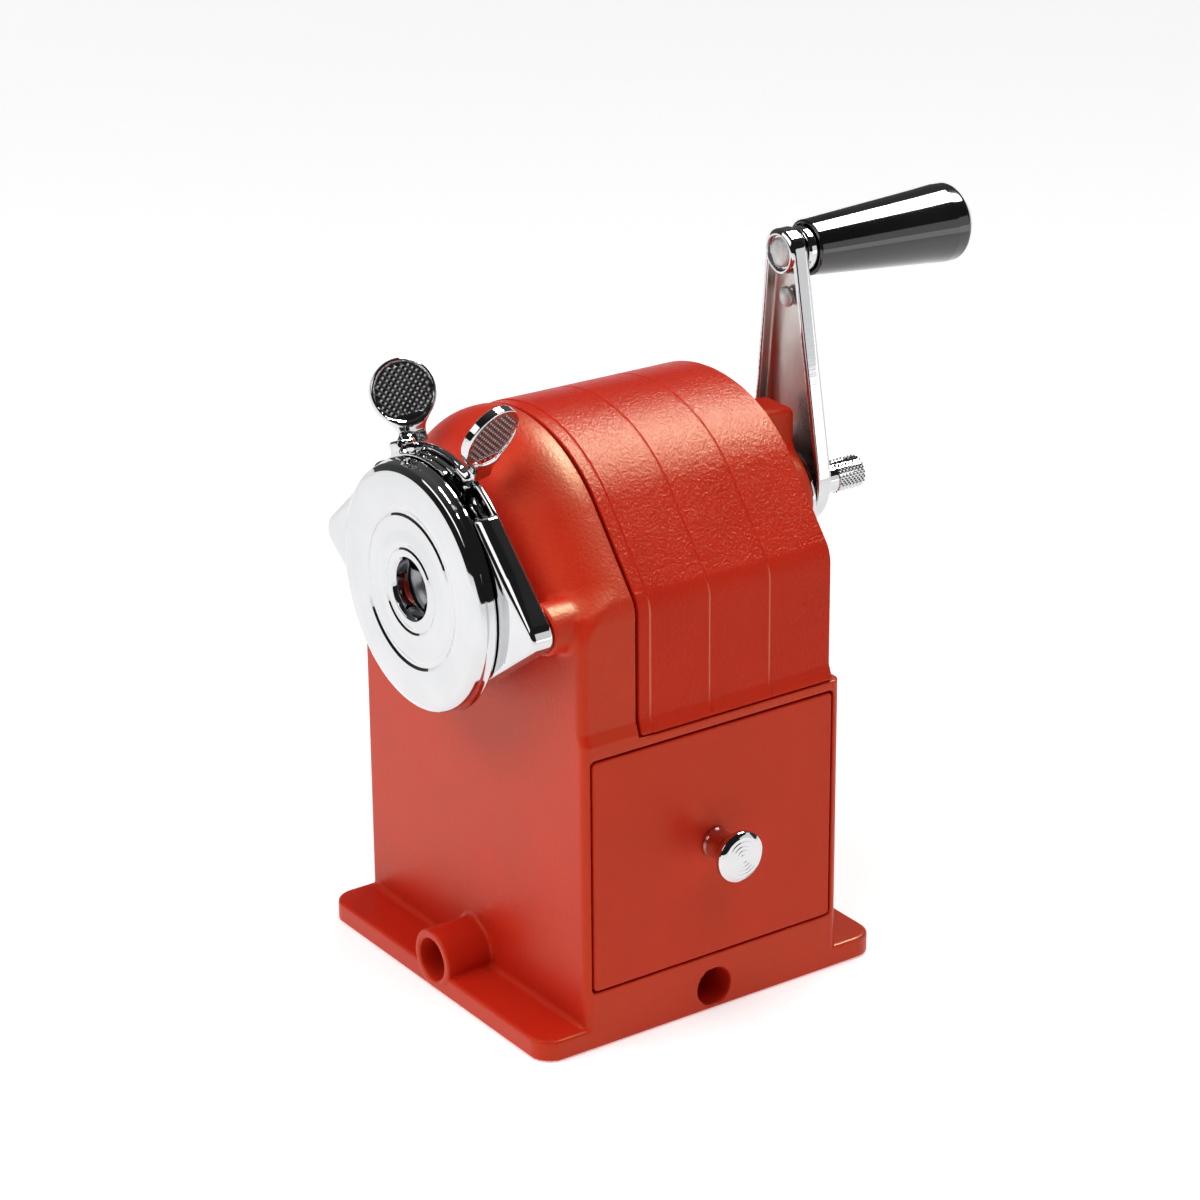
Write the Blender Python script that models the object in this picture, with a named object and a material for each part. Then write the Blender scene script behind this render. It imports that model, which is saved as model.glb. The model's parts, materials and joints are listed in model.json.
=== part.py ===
"""Crank pencil sharpener with a sprung pencil chuck, a shavings drawer and a planetary helical cutter.

The base stands on Z = 0 with its centre at X = Y = 0. The chuck faces -Y, the drawer opens towards +X
and the crank turns about an axis along Y at the rear. Sizes are in millimetres.
"""
import math

import bmesh
import bpy
from mathutils import Matrix, Vector

MM = 0.001
GAP = 0.3                       # clearance between pieces that touch
ROUND = 36                      # sides of a large turned piece
ROUND_SMALL = 16                # sides of a small turned piece

# Base and box
BOX_X = 41.55                   # half width of the box, across the drawer face
BOX_Y = 32.2                    # half length of the box
BOX_TOP = 66.5
CORNER = 2.0                    # radius of the box's upright corners
FLANGE_Y = 42.9                 # half length of the base flange
FLANGE_Z = 4.65
FLANGE_CORNER = 5.0
WALL = 3.0

# Drawer bay and drawer
DRAWER_Y = (-30.6, 30.2)        # opening for the drawer front
DRAWER_Z = (12.56, 64.4)
BAY_Y = 28.9                    # half width of the bay behind the front
BAY_Z = (13.6, 63.0)
BAY_BACK = -38.5
FRONT_THICK = 3.0
TRAY_WALL = 1.6
TRAY_TOP = 58.0
KNOB_Z = 38.4
KNOB_REACH = 9.8                # from the drawer front to the face of its knob
KNOB_RADIUS = 5.55

# Clamp bores
SIDE_BORE_Z = 4.95
SIDE_BORE_R = 4.24
BOSS_Z = 6.7
BOSS_R = 6.55
BOSS_BORE_R = 4.64
BOSS_PROUD = 0.2                # the boss stands this far in front of the flange
BORE_DEPTH = 24.0
SPINE = 9.0                     # half width of the solid ribs under the bay

# Hood, nose and rear cover
UPPER_X = 40.5                  # half width above the box
CREASE_Z = 94.8                 # where the upright wall turns into the slope
ARCH_Z = 89.5                   # centre of the round top
ARCH_R = 34.7
FLARE_TOP = 70.0                # the wall flares out to the box below this height
GROOVE_Y = -18.3                # parting line between nose and hood
HOOD_REAR = 29.85
HOOD_WALL = 2.5
DOME_R = 11.0                   # the nose's rounding, across the arch
DOME_LENGTH = 12.0              # the nose's rounding, along Y
ARCH_STEPS = 20
PENCIL_WAY_R = 9.0
CHUTE_X = 22.0                  # half width of the opening that shavings fall through
CHUTE_END = 24.0
COVER_THICK = 2.8
COVER_BACK = HOOD_REAR - 0.4
SCREW_HOLE_R = 1.6
LUG_HALF = 5.2                  # half width of the lug over the crank's boss

# Crank axis
AXIS_Z = 91.5

# Chuck
DISC_R = 26.0
DISC_FRONT = -46.4
DISC_BACK = -42.4
PENCIL_R = 6.1
PLATE_FRONT = -42.1
PLATE_BACK = -36.9
PLATE_WALL = 1.5
DISC_SCREW_CIRCLE = 24.1        # radius of the circle of screws behind the disc
DISC_SCREW_HOLE_R = 1.3
PLATE_TOP_R = 28.4              # the ears' upper edges are tangent to this
PLATE_LOW_R = 23.8              # the ears' lower edges are tangent to this
EAR_TIP_X = 38.5
EAR_TIP_Z = 1.8
POCKET_R = 22.2
SLOT_FLOOR = 17.8               # floor of the slot that the levers leave by
ROD_X = 33.3
ROD_R = 2.5
ROD_END = 24.5
GUIDE_BUSH_BACK = -24.2         # rear end of the bushes that the rods slide in
GUIDE_BUSH_WALL = 1.0
GUIDE_R = 5.25
SPRING_R = 3.55
WIRE_R = 0.45
LEVER_SPRING_R = 13.1
LEVER_WIRE_R = 0.5

# Finger levers and jaws
LEVER_ANGLE = math.radians(24.4)
LEVER_RING = (14.6, 21.5)
LEVER_THICK = 1.4
ARCH_STRIP = (25.4, 27.2)       # inner and outer radius of a lever's arched strip
PAD_R = 7.0
PAD_REACH = 38.8
PAD_Y = -36.3
PAD_THICK = 2.0
PAD_BEVEL = 0.4
PAD_TWIST = math.radians(12.0)
JAW_INNER = 3.6
JAW_OUTER = 9.0

# Crank, grip and depth knob
BOSS_END = 47.2
SHAFT_R = 5.0
SHAFT_BORE = 2.4
BUSH_R = 7.5
ARM_FRONT = 48.9
ARM_BACK = 52.9
ARM_MIDDLE = (ARM_FRONT + ARM_BACK) / 2
ARM_SKIN = 1.3
ARM_LEAN = math.radians(2.7)
ARM_LENGTH = 52.3
ARM_HUB_R = 12.0
ARM_HUB_RISE = 4.2
EYE_R = 5.15
EYE_BORE_R = 2.4
RIVET_DROP = 9.8                # the arm's rivet lies this far below the eye
GRIP_AXLE_R = 2.0
GRIP_DROOP = math.radians(1.8)
FERRULE_R = 4.9
GRIP_START = 6.4
GRIP_LENGTH = 40.2
KNURL_R = 3.7
KNURL_LENGTH = 4.6
KNOB_END = 68.6

# Planetary cutter: every tooth runs to one apex on the crank axis
APEX_Y = 57.3
TILT = math.radians(11.0)
RING_TEETH = 33
PINION_TEETH = 12
CUTTER_R = 8.5
CUTTER_BLADES = 10
CUTTER_SPAN = (48.7, 72.4)      # distances from the apex, along the cutter's axis
PINION_SPAN = (72.9, 79.0)
AXLE_SPAN = (40.6, 85.4)
AXLE_R = 1.9
CARRIER_R = 19.2
RING_GEAR_BACK = -13.0
RING_GEAR_STEP = -20.9
TOOTH_FRONT = -20.2


def clear_scene():
    for thing in list(bpy.data.objects):
        bpy.data.objects.remove(thing, do_unlink=True)


# ---------------------------------------------------------------- materials

def principled(name, colour, roughness, metallic):
    """A Principled material, made once and then shared."""
    material = bpy.data.materials.get(name)
    if material is None:
        material = bpy.data.materials.new(name)
        material.use_nodes = True
        shader = material.node_tree.nodes["Principled BSDF"]
        shader.inputs["Base Color"].default_value = (*colour, 1.0)
        shader.inputs["Roughness"].default_value = roughness
        shader.inputs["Metallic"].default_value = metallic
        material.diffuse_color = (*colour, 1.0)
    return material


def red_paint():
    return principled("red_paint", (0.62, 0.035, 0.012), 0.42, 0.0)


def chrome():
    return principled("chrome", (0.82, 0.82, 0.83), 0.08, 1.0)


def steel():
    return principled("steel", (0.55, 0.56, 0.58), 0.3, 1.0)


def tool_steel():
    return principled("tool_steel", (0.35, 0.36, 0.38), 0.35, 1.0)


def bronze():
    return principled("bronze", (0.55, 0.36, 0.16), 0.4, 1.0)


def black_gloss():
    return principled("black_gloss", (0.012, 0.012, 0.013), 0.12, 0.0)


def dark_plastic():
    return principled("dark_plastic", (0.04, 0.04, 0.042), 0.5, 0.0)


# ---------------------------------------------------------------- mesh tools

def make_object(name, mesh_data, material, parent=None, smooth=30.0):
    """Turn a bmesh in millimetres into an object in metres."""
    bmesh.ops.recalc_face_normals(mesh_data, faces=mesh_data.faces)
    bmesh.ops.scale(mesh_data, vec=(MM, MM, MM), verts=mesh_data.verts)
    mesh = bpy.data.meshes.new(name)
    mesh_data.to_mesh(mesh)
    mesh_data.free()
    mesh.shade_smooth()
    mesh.set_sharp_from_angle(angle=math.radians(smooth))
    piece = bpy.data.objects.new(name, mesh)
    bpy.context.scene.collection.objects.link(piece)
    if material is not None:
        mesh.materials.append(material)
    piece.parent = parent
    return piece


def guide(name, mesh_data, parent=None):
    """A cutter or a shape to be united with a piece; it is not a piece itself."""
    piece = make_object(name, mesh_data, None, parent)
    piece.hide_render = True
    piece.display_type = "WIRE"
    return piece


def combine(piece, other, operation):
    modifier = piece.modifiers.new(f"{operation.lower()}_{other.name}", "BOOLEAN")
    modifier.operation = operation
    modifier.solver = "EXACT"
    modifier.object = other


def cut(piece, mesh_data, name):
    combine(piece, guide(f"{piece.name}_{name}", mesh_data, piece.parent), "DIFFERENCE")


def add(piece, mesh_data, name):
    combine(piece, guide(f"{piece.name}_{name}", mesh_data, piece.parent), "UNION")


def empty(name, location, rotation=(0.0, 0.0, 0.0), parent=None):
    """A pivot on a joint's axis; location in millimetres."""
    pivot = bpy.data.objects.new(name, None)
    bpy.context.scene.collection.objects.link(pivot)
    pivot.location = Vector(location) * MM
    pivot.rotation_euler = rotation
    pivot.parent = parent
    return pivot


def loft(loops):
    """A closed solid through closed loops of points, with flat ends."""
    solid = bmesh.new()
    rings = [[solid.verts.new(point) for point in loop] for loop in loops]
    count = len(rings[0])
    for near, far in zip(rings, rings[1:]):
        for i in range(count):
            j = (i + 1) % count
            solid.faces.new((near[i], near[j], far[j], far[i]))
    solid.faces.new(rings[0])
    solid.faces.new(rings[-1])
    return solid


def hollow_loft(outer, inner):
    """A tube between two stacks of closed loops with equal numbers of points."""
    solid = bmesh.new()
    stack = outer + inner[::-1]
    rings = [[solid.verts.new(point) for point in loop] for loop in stack]
    count = len(rings[0])
    for near, far in zip(rings, rings[1:] + rings[:1]):
        for i in range(count):
            j = (i + 1) % count
            solid.faces.new((near[i], near[j], far[j], far[i]))
    return solid


def block(x, y, z):
    """A box between pairs of limits."""
    corners = [(x[0], y[0]), (x[1], y[0]), (x[1], y[1]), (x[0], y[1])]
    return plate(corners, z[0], z[1])


def plate(outline, z0, z1):
    """An outline in X and Y, extruded along Z."""
    return loft([[(x, y, z) for x, y in outline] for z in (z0, z1)])


def prism(outline, y0, y1):
    """An outline in X and Z, extruded along Y."""
    return loft([[(x, y, z) for x, z in outline] for y in (y0, y1)])


def turned(profile, segments=ROUND, x=0.0, z=0.0):
    """A solid turned about an axis along Y, from a closed profile of (radius, y) points."""
    solid = bmesh.new()
    rings = []
    for radius, y in profile:
        if radius < 1e-6:
            rings.append([solid.verts.new((x, y, z))])
            continue
        ring = []
        for i in range(segments):
            angle = math.tau * i / segments
            ring.append(solid.verts.new((x + radius * math.cos(angle), y, z + radius * math.sin(angle))))
        rings.append(ring)
    for near, far in zip(rings, rings[1:] + rings[:1]):
        if len(near) == 1 and len(far) == 1:
            continue
        for i in range(segments):
            j = (i + 1) % segments
            if len(near) == 1:
                solid.faces.new((near[0], far[j], far[i]))
            elif len(far) == 1:
                solid.faces.new((near[i], near[j], far[0]))
            else:
                solid.faces.new((near[i], near[j], far[j], far[i]))
    return solid


def rod(radius, y0, y1, segments=ROUND_SMALL, x=0.0, z=0.0):
    step = math.tau / segments
    return prism(arc(radius, step / 2, math.tau - step / 2, segments - 1, x, z), y0, y1)


def tube(inner, outer, y0, y1, segments=ROUND_SMALL, x=0.0, z=0.0):
    return turned([(inner, y0), (outer, y0), (outer, y1), (inner, y1)], segments, x, z)


def sideways(solid):
    """Turn a solid made along Y so that it runs along X."""
    bmesh.ops.rotate(solid, cent=(0, 0, 0), matrix=Matrix.Rotation(-math.pi / 2, 3, "Z"), verts=solid.verts)
    return solid


def moved(solid, offset):
    bmesh.ops.translate(solid, vec=offset, verts=solid.verts)
    return solid


def turned_by(solid, angle, axis):
    bmesh.ops.rotate(solid, cent=(0, 0, 0), matrix=Matrix.Rotation(angle, 3, axis), verts=solid.verts)
    return solid


def rounded_rectangle(half_x, half_y, radius, steps=3):
    outline = []
    for corner in range(4):
        start = corner * math.pi / 2
        cx = math.copysign(half_x - radius, math.cos(start + math.pi / 4))
        cy = math.copysign(half_y - radius, math.sin(start + math.pi / 4))
        for i in range(steps + 1):
            angle = start + math.pi / 2 * i / steps
            outline.append((cx + radius * math.cos(angle), cy + radius * math.sin(angle)))
    return outline


def arc(radius, start, end, steps, x=0.0, z=0.0):
    """Points on an arc in X and Z; angles are measured from +X towards +Z."""
    points = []
    for i in range(steps + 1):
        angle = start + (end - start) * i / steps
        points.append((x + radius * math.cos(angle), z + radius * math.sin(angle)))
    return points


def coil(radius, wire, y0, y1, turns, steps=10, sides=5, x=0.0, z=0.0):
    """A round wire wound about an axis along Y."""
    loops = []
    count = int(turns * steps)
    for i in range(count + 1):
        angle = math.tau * i / steps
        y = y0 + wire + (y1 - y0 - 2 * wire) * i / count
        outward = Vector((math.cos(angle), 0.0, math.sin(angle)))
        centre = Vector((x, y, z)) + outward * radius
        loop = []
        for k in range(sides):
            around = math.tau * k / sides
            loop.append(centre + wire * (outward * math.cos(around) + Vector((0, 1, 0)) * math.sin(around)))
        loops.append(loop)
    return loft(loops)


# ---------------------------------------------------------------- housing

def arch(radius, half_width, floor, flare):
    """The hood's outline in X and Z, from the right foot over the top to the left foot."""
    dx, dz = half_width, CREASE_Z - ARCH_Z
    touch = math.atan2(dz, dx) + math.acos(radius / math.hypot(dx, dz))
    right = [(half_width + flare, floor), (half_width + flare, BOX_TOP + 0.9)]
    right += [(half_width, FLARE_TOP), (half_width, CREASE_Z)]
    top = arc(radius, touch, math.pi - touch, ARCH_STEPS, 0.0, ARCH_Z)
    left = [(-x, z) for x, z in reversed(right)]
    return right + top + left


def nose_section(angle, inset, floor):
    """The nose's outline where its rounding has turned by an angle from the hood's side."""
    y = -BOX_Y + DOME_LENGTH * (1.0 - math.sin(angle))
    from_front = y + BOX_Y
    pull = 0.0
    if from_front < CORNER:
        pull = CORNER - math.sqrt(CORNER ** 2 - (CORNER - from_front) ** 2)
    radius = ARCH_R - DOME_R * (1.0 - math.cos(angle)) - inset
    outline = arch(radius, UPPER_X - pull - inset, floor, BOX_X - UPPER_X)
    return [(x, y, z) for x, z in outline]


def nose_solid():
    angles = [math.radians(a) for a in (0, 22, 40, 55, 67, 77, 84, 90)]
    sections = [nose_section(angle, 0.0, BOX_TOP - WALL) for angle in angles]
    straight = [(x, GROOVE_Y - GAP, z) for x, _, z in sections[0]]
    return loft([straight] + sections)


def nose_chamber():
    """The hollow of the nose, open towards the hood."""
    angles = [math.radians(a) for a in (0, 20, 36, 48)]
    sections = [nose_section(angle, WALL, BOX_TOP) for angle in angles]
    opening = [(x, GROOVE_Y + 5.0, z) for x, _, z in sections[0]]
    sections[-1] = [(x, -BOX_Y + WALL, z) for x, _, z in sections[-1]]
    walls = []
    for section in [opening] + sections:
        walls.append([(math.copysign(min(abs(x), UPPER_X - WALL), x), y, z) for x, y, z in section])
    return loft(walls)


def base_housing():
    piece = make_object("base_housing", plate(rounded_rectangle(BOX_X, BOX_Y, CORNER), 0.0, BOX_TOP),
                        red_paint())
    add(piece, plate(rounded_rectangle(BOX_X, FLANGE_Y, FLANGE_CORNER, 5), 0.0, FLANGE_Z), "flange")
    add(piece, nose_solid(), "nose")
    add(piece, rod(BOSS_R, -FLANGE_Y - BOSS_PROUD, -BOX_Y + 1.0, 28, 0.0, BOSS_Z), "clamp_boss")
    for side in (-1, 1):
        add(piece, rod(GUIDE_R, PLATE_BACK + GAP, -BOX_Y + 1.0, 24, side * ROD_X, AXIS_Z), f"guide_{side}")
    cut_bays(piece)
    cut_bores(piece)
    return piece


def cut_bays(piece):
    cut(piece, nose_chamber(), "chamber")
    cut(piece, block((BAY_BACK, BOX_X + 1.0), (-BAY_Y, BAY_Y), BAY_Z), "bay")
    cut(piece, block((BOX_X - FRONT_THICK - GAP, BOX_X + 1.0), DRAWER_Y, DRAWER_Z), "recess")
    chute_y = (RING_GEAR_STEP - 2 * GAP, CHUTE_END)
    cut(piece, block((-CHUTE_X, CHUTE_X), chute_y, (BAY_Z[1] - 1.0, BOX_TOP + 1.0)), "chute")
    for side_x in (-1, 1):
        for side_y in (-1, 1):
            x = sorted((side_x * SPINE, side_x * (BOX_X - WALL)))
            y = sorted((side_y * SPINE, side_y * (BOX_Y - WALL)))
            cut(piece, block(x, y, (-1.0, BAY_Z[0] - WALL)), f"pocket_{side_x}_{side_y}")


def cut_bores(piece):
    bush_seat = ROD_R + GAP + GUIDE_BUSH_WALL + GAP
    cut(piece, rod(BOSS_BORE_R, -FLANGE_Y - 1.0, -FLANGE_Y + BORE_DEPTH, 24, 0.0, BOSS_Z), "front_bore")
    for side in (-1, 1):
        bore = sideways(rod(SIDE_BORE_R, BOX_X - BORE_DEPTH, BOX_X + 1.0, 24))
        if side < 0:
            turned_by(bore, math.pi, "Z")
        cut(piece, moved(bore, (0.0, 0.0, SIDE_BORE_Z)), f"side_bore_{side}")
        cut(piece, rod(bush_seat, PLATE_BACK - 1.0, -BOX_Y + WALL + 2.0, 20, side * ROD_X, AXIS_Z),
            f"guide_bore_{side}")
    cut(piece, rod(PENCIL_WAY_R, -BOX_Y - 1.0, -BOX_Y + WALL + 2.0, 32, 0.0, AXIS_Z), "pencil_way")


def hood_cover():
    """The bent shell over the works, from the parting line to the rear."""
    floor = BOX_TOP + GAP
    outer = arch(ARCH_R, UPPER_X, floor, BOX_X - UPPER_X)
    inner = arch(ARCH_R - HOOD_WALL, UPPER_X - HOOD_WALL, floor, 0.0)
    shell = bmesh.new()
    rows = []
    for outline in (outer, inner):
        for y in (GROOVE_Y, HOOD_REAR):
            rows.append([shell.verts.new((x, y, z)) for x, z in outline])
    front_out, rear_out, front_in, rear_in = rows
    last = len(outer) - 1
    for i in range(last):
        for a, b in ((front_out, rear_out), (rear_out, rear_in), (rear_in, front_in), (front_in, front_out)):
            shell.faces.new((a[i], a[i + 1], b[i + 1], b[i]))
    for i in (0, last):
        shell.faces.new((front_out[i], rear_out[i], rear_in[i], front_in[i]))
    return make_object("hood_cover", shell, red_paint())


def rear_cover():
    """The rear wall inside the hood, with the crank's bearing boss and its stop lug."""
    inset = HOOD_WALL + GAP
    outline = arch(ARCH_R - inset, UPPER_X - inset, BOX_TOP + GAP, 0.0)
    piece = make_object("rear_cover", prism(outline, COVER_BACK - COVER_THICK, COVER_BACK), red_paint())
    root = COVER_BACK - 1.0
    cone = [(0, root), (20.0, root), (18.6, root + 3.0), (15.2, root + 9.0)]
    cone += [(13.2, BOSS_END - 4.5), (12.7, BOSS_END - 1.2), (11.6, BOSS_END), (0, BOSS_END)]
    add(piece, turned(cone, 38, 0.0, AXIS_Z), "boss")
    lug = [(root, 9.5), (root, 21.9), (BOSS_END - 1.0, 21.2), (BOSS_END + 0.3, 20.2)]
    lug += [(BOSS_END + 0.3, 17.6), (BOSS_END - 1.6, 13.6), (BOSS_END - 3.0, 9.5)]
    sections = [[(x, y, AXIS_Z + z) for y, z in lug] for x in (-LUG_HALF, LUG_HALF)]
    add(piece, loft(sections), "lug")
    cut(piece, rod(BUSH_R + GAP, HOOD_REAR - 5.0, BOSS_END + 1.0, 30, 0.0, AXIS_Z), "bearing")
    for x, z in cover_screw_places():
        cut(piece, rod(SCREW_HOLE_R, HOOD_REAR - 5.0, HOOD_REAR + 1.0, 12, x, z), f"hole_{x:.0f}_{z:.0f}")
    return piece


def cover_screw_places():
    return [(-31.0, 74.0), (31.0, 74.0), (-26.0, 104.0), (26.0, 104.0)]


def pan_screw(x, z, seat, length, radius=1.3, head=2.6):
    """A screw along Y whose domed head lies behind its seat."""
    dome = [(0, seat - length), (radius, seat - length), (radius, seat), (head, seat)]
    dome += [(head, seat + 0.5), (head * 0.6, seat + 1.4), (0, seat + 1.5)]
    return turned(dome, 10, x, z)


def rear_cover_screw(x, z, name):
    return make_object(name, pan_screw(x, z, COVER_BACK + GAP, 7.0), steel())


def crank_bushing():
    front = COVER_BACK - COVER_THICK - GAP
    flange = BUSH_R + 1.9
    profile = [(SHAFT_R + GAP, front - 1.2), (flange, front - 1.2), (flange, front), (BUSH_R, front)]
    profile += [(BUSH_R, BOSS_END - 0.4), (SHAFT_R + GAP, BOSS_END - 0.4)]
    return make_object("crank_bushing", turned(profile, 24, 0.0, AXIS_Z), bronze())


def guide_bush(side, name):
    front = PLATE_BACK + GAP + 0.6
    bore = ROD_R + GAP
    bush = tube(bore, bore + GUIDE_BUSH_WALL, front, GUIDE_BUSH_BACK, 20, side * ROD_X, AXIS_Z)
    return make_object(name, bush, bronze())


def return_spring(side, name):
    """A spring that pushes the rod's end clip back and so draws the chuck to the housing."""
    start, end = GUIDE_BUSH_BACK + GAP, ROD_END - 2.4
    wire = coil(SPRING_R, WIRE_R, start, end, 8, 8, 4, side * ROD_X, AXIS_Z)
    return make_object(name, wire, steel())


# ---------------------------------------------------------------- drawer

def drawer_front(body):
    y = (DRAWER_Y[0] + GAP + 0.1, DRAWER_Y[1] - GAP - 0.1)
    z = (DRAWER_Z[0] + GAP + 0.1, DRAWER_Z[1] - GAP - 0.1)
    piece = make_object("drawer_front", block((BOX_X - FRONT_THICK, BOX_X), y, z), red_paint(), body)
    cut(piece, moved(sideways(rod(1.9, BOX_X - 6.0, BOX_X + 1.0, 16)), (0, 0, KNOB_Z)), "knob_hole")
    return piece


def drawer_tray(body):
    x = (BAY_BACK + 1.5, BOX_X - FRONT_THICK - GAP)
    y = (-BAY_Y + 0.6, BAY_Y - 0.6)
    z = (BAY_Z[0] + GAP, TRAY_TOP)
    piece = make_object("drawer_tray", block(x, y, z), dark_plastic(), body)
    inside = [(x[0] + TRAY_WALL, x[1] - TRAY_WALL), (y[0] + TRAY_WALL, y[1] - TRAY_WALL)]
    cut(piece, block(*inside, (z[0] + TRAY_WALL, z[1] + 1.0)), "inside")
    cut(piece, moved(sideways(rod(1.5, x[1] - 4.0, x[1] + 1.0, 14)), (0, 0, KNOB_Z)), "screw_hole")
    return piece


def drawer_knob(body):
    """A turned knob: a stem, a flare and a slightly domed head."""
    start = BOX_X + GAP
    face = BOX_X + KNOB_REACH
    profile = [(1.5, start), (3.3, start), (2.9, start + 0.9), (2.75, start + 2.6), (3.0, start + 4.0)]
    profile += [(4.2, start + 5.6), (KNOB_RADIUS - 0.3, face - 2.3), (KNOB_RADIUS, face - 1.7)]
    profile += [(KNOB_RADIUS, face - 1.1), (KNOB_RADIUS - 0.5, face - 0.5), (3.2, face - 0.15), (0, face)]
    profile += [(0, face - 3.0), (1.5, face - 3.0)]
    solid = moved(sideways(turned(profile, 24)), (0, 0, KNOB_Z))
    return make_object("drawer_knob", solid, chrome(), body)


def drawer_knob_screw(body):
    """The screw that holds the knob, its head inside the tray."""
    inner = BOX_X - FRONT_THICK - GAP - TRAY_WALL - GAP
    profile = [(0, inner - 1.8), (2.4, inner - 1.8), (2.4, inner), (1.2, inner)]
    profile += [(1.2, BOX_X + KNOB_REACH - 3.4), (0, BOX_X + KNOB_REACH - 3.4)]
    solid = moved(sideways(turned(profile, 14)), (0, 0, KNOB_Z))
    return make_object("drawer_knob_screw", solid, steel(), body)


# ---------------------------------------------------------------- chuck

def face_disc(body):
    """The turned disc with its rolled rim, two rings and raised collar."""
    f = DISC_FRONT
    profile = [(PENCIL_R, DISC_BACK), (PENCIL_R, f + 0.9), (PENCIL_R + 0.7, f + 0.3), (8.3, f + 0.3)]
    profile += [(9.2, f + 1.5), (15.6, f + 0.8), (16.6, f + 0.2), (21.0, f), (24.4, f + 0.4)]
    profile += [(DISC_R, f + 1.9), (DISC_R, DISC_BACK)]
    piece = make_object("face_disc", turned(profile, 44), chrome(), body)
    for i, (x, z) in enumerate(disc_screw_places()):
        cut(piece, rod(DISC_SCREW_HOLE_R, DISC_BACK - 2.0, DISC_BACK + 1.0, 12, x, z), f"hole_{i}")
    return piece


def plate_outline():
    """A round plate with a pointed ear on each side, relative to the crank axis."""
    reach = math.hypot(EAR_TIP_X, EAR_TIP_Z)
    lean = math.atan2(EAR_TIP_Z, EAR_TIP_X)
    high = lean + math.acos(PLATE_TOP_R / reach)
    low = -lean - math.acos(PLATE_LOW_R / reach)
    top = arc(PLATE_TOP_R, high, math.pi - high, 14)
    bottom = arc(PLATE_LOW_R, math.pi - low, math.tau + low, 12)
    left_tip = [(-EAR_TIP_X, EAR_TIP_Z), (-EAR_TIP_X, -EAR_TIP_Z)]
    right_tip = [(EAR_TIP_X, -EAR_TIP_Z), (EAR_TIP_X, EAR_TIP_Z)]
    return top + left_tip + bottom + right_tip


def chuck_plate(body):
    piece = make_object("chuck_plate", prism(plate_outline(), PLATE_FRONT, PLATE_BACK), chrome(), body)
    inner = PLATE_BACK - PLATE_WALL
    cut(piece, rod(POCKET_R, PLATE_FRONT - 1.0, inner, 40), "pocket")
    slot = [(-19.9, 32.0), (-19.9, 20.5), (-15.0, SLOT_FLOOR)]
    slot += [(-x, z) for x, z in reversed(slot)]
    cut(piece, prism(slot, PLATE_FRONT - 1.0, inner), "slot")
    cut(piece, rod(PENCIL_R + 0.6, PLATE_FRONT - 1.0, PLATE_BACK + 1.0, 28), "pencil_hole")
    for side in (-1, 1):
        cut(piece, rod(ROD_R + GAP, PLATE_FRONT + 1.2, PLATE_BACK + 1.0, 20, side * ROD_X), f"rod_{side}")
    for i, (x, z) in enumerate(disc_screw_places()):
        cut(piece, rod(DISC_SCREW_HOLE_R, PLATE_FRONT - 1.0, PLATE_BACK + 1.0, 12, x, z), f"hole_{i}")
    return piece


def guide_rod(body, side, name):
    """A rod from the plate's ear through the housing, with a waist for its clip."""
    end = ROD_END
    profile = [(0, PLATE_FRONT + 1.5), (ROD_R, PLATE_FRONT + 1.5), (ROD_R, end - 1.9), (1.6, end - 1.9)]
    profile += [(1.6, end - 0.9), (ROD_R, end - 0.9), (ROD_R - 0.4, end), (0, end)]
    return make_object(name, turned(profile, 20, side * ROD_X), steel(), body)


def rod_clip(body, side, name):
    """The clip on a rod's end that the return spring pushes against."""
    end = ROD_END
    clip = tube(1.9, 4.1, end - 1.8, end - 1.0, 16, side * ROD_X)
    return make_object(name, clip, tool_steel(), body)


def disc_screw_places():
    angle = math.radians(15.0)
    x, z = DISC_SCREW_CIRCLE * math.cos(angle), DISC_SCREW_CIRCLE * math.sin(angle)
    return [(x, z), (x, -z), (-x, z), (-x, -z)]


def disc_screw(body, x, z, name):
    """A screw from the plate's back into the face disc."""
    return make_object(name, pan_screw(x, z, PLATE_BACK + GAP, 7.0, 1.0, 1.9), steel(), body)


def lever(pivot, name, side):
    """A finger lever: a ring round the pencil way, an arched strip, a neck and a round finger pad."""
    y0 = PLATE_FRONT + 0.2 if side < 0 else PLATE_FRONT + 2.0
    y1 = y0 + LEVER_THICK
    piece = make_object(name, tube(*LEVER_RING, y0, y1, 34), chrome(), pivot)
    add(piece, lever_arch(side, y0, y1), "arch")
    add(piece, lever_neck(side, y0, y1), "neck")
    half = PAD_THICK / 2
    face, edge = PAD_R - PAD_BEVEL, half - PAD_BEVEL
    pad = turned([(0, -half), (face, -half), (PAD_R, -edge), (PAD_R, edge), (face, half), (0, half)], 24)
    turned_by(pad, math.pi / 2 + side * PAD_TWIST, "Z")
    moved(pad, (0.0, PAD_Y, PAD_REACH))
    add(piece, turned_by(pad, side * LEVER_ANGLE, "Y"), "pad")
    return piece


def lever_arch(side, y0, y1):
    """A strip that follows the disc's rim from the neck across the top."""
    centre = math.pi / 2 - side * LEVER_ANGLE
    start, end = centre - side * math.radians(4.0), centre + side * math.radians(40.0)
    outer = arc(ARCH_STRIP[1], start, end, 10)
    inner = arc(ARCH_STRIP[0], end, start, 10)
    return prism(outer + inner, y0, y1)


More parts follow.
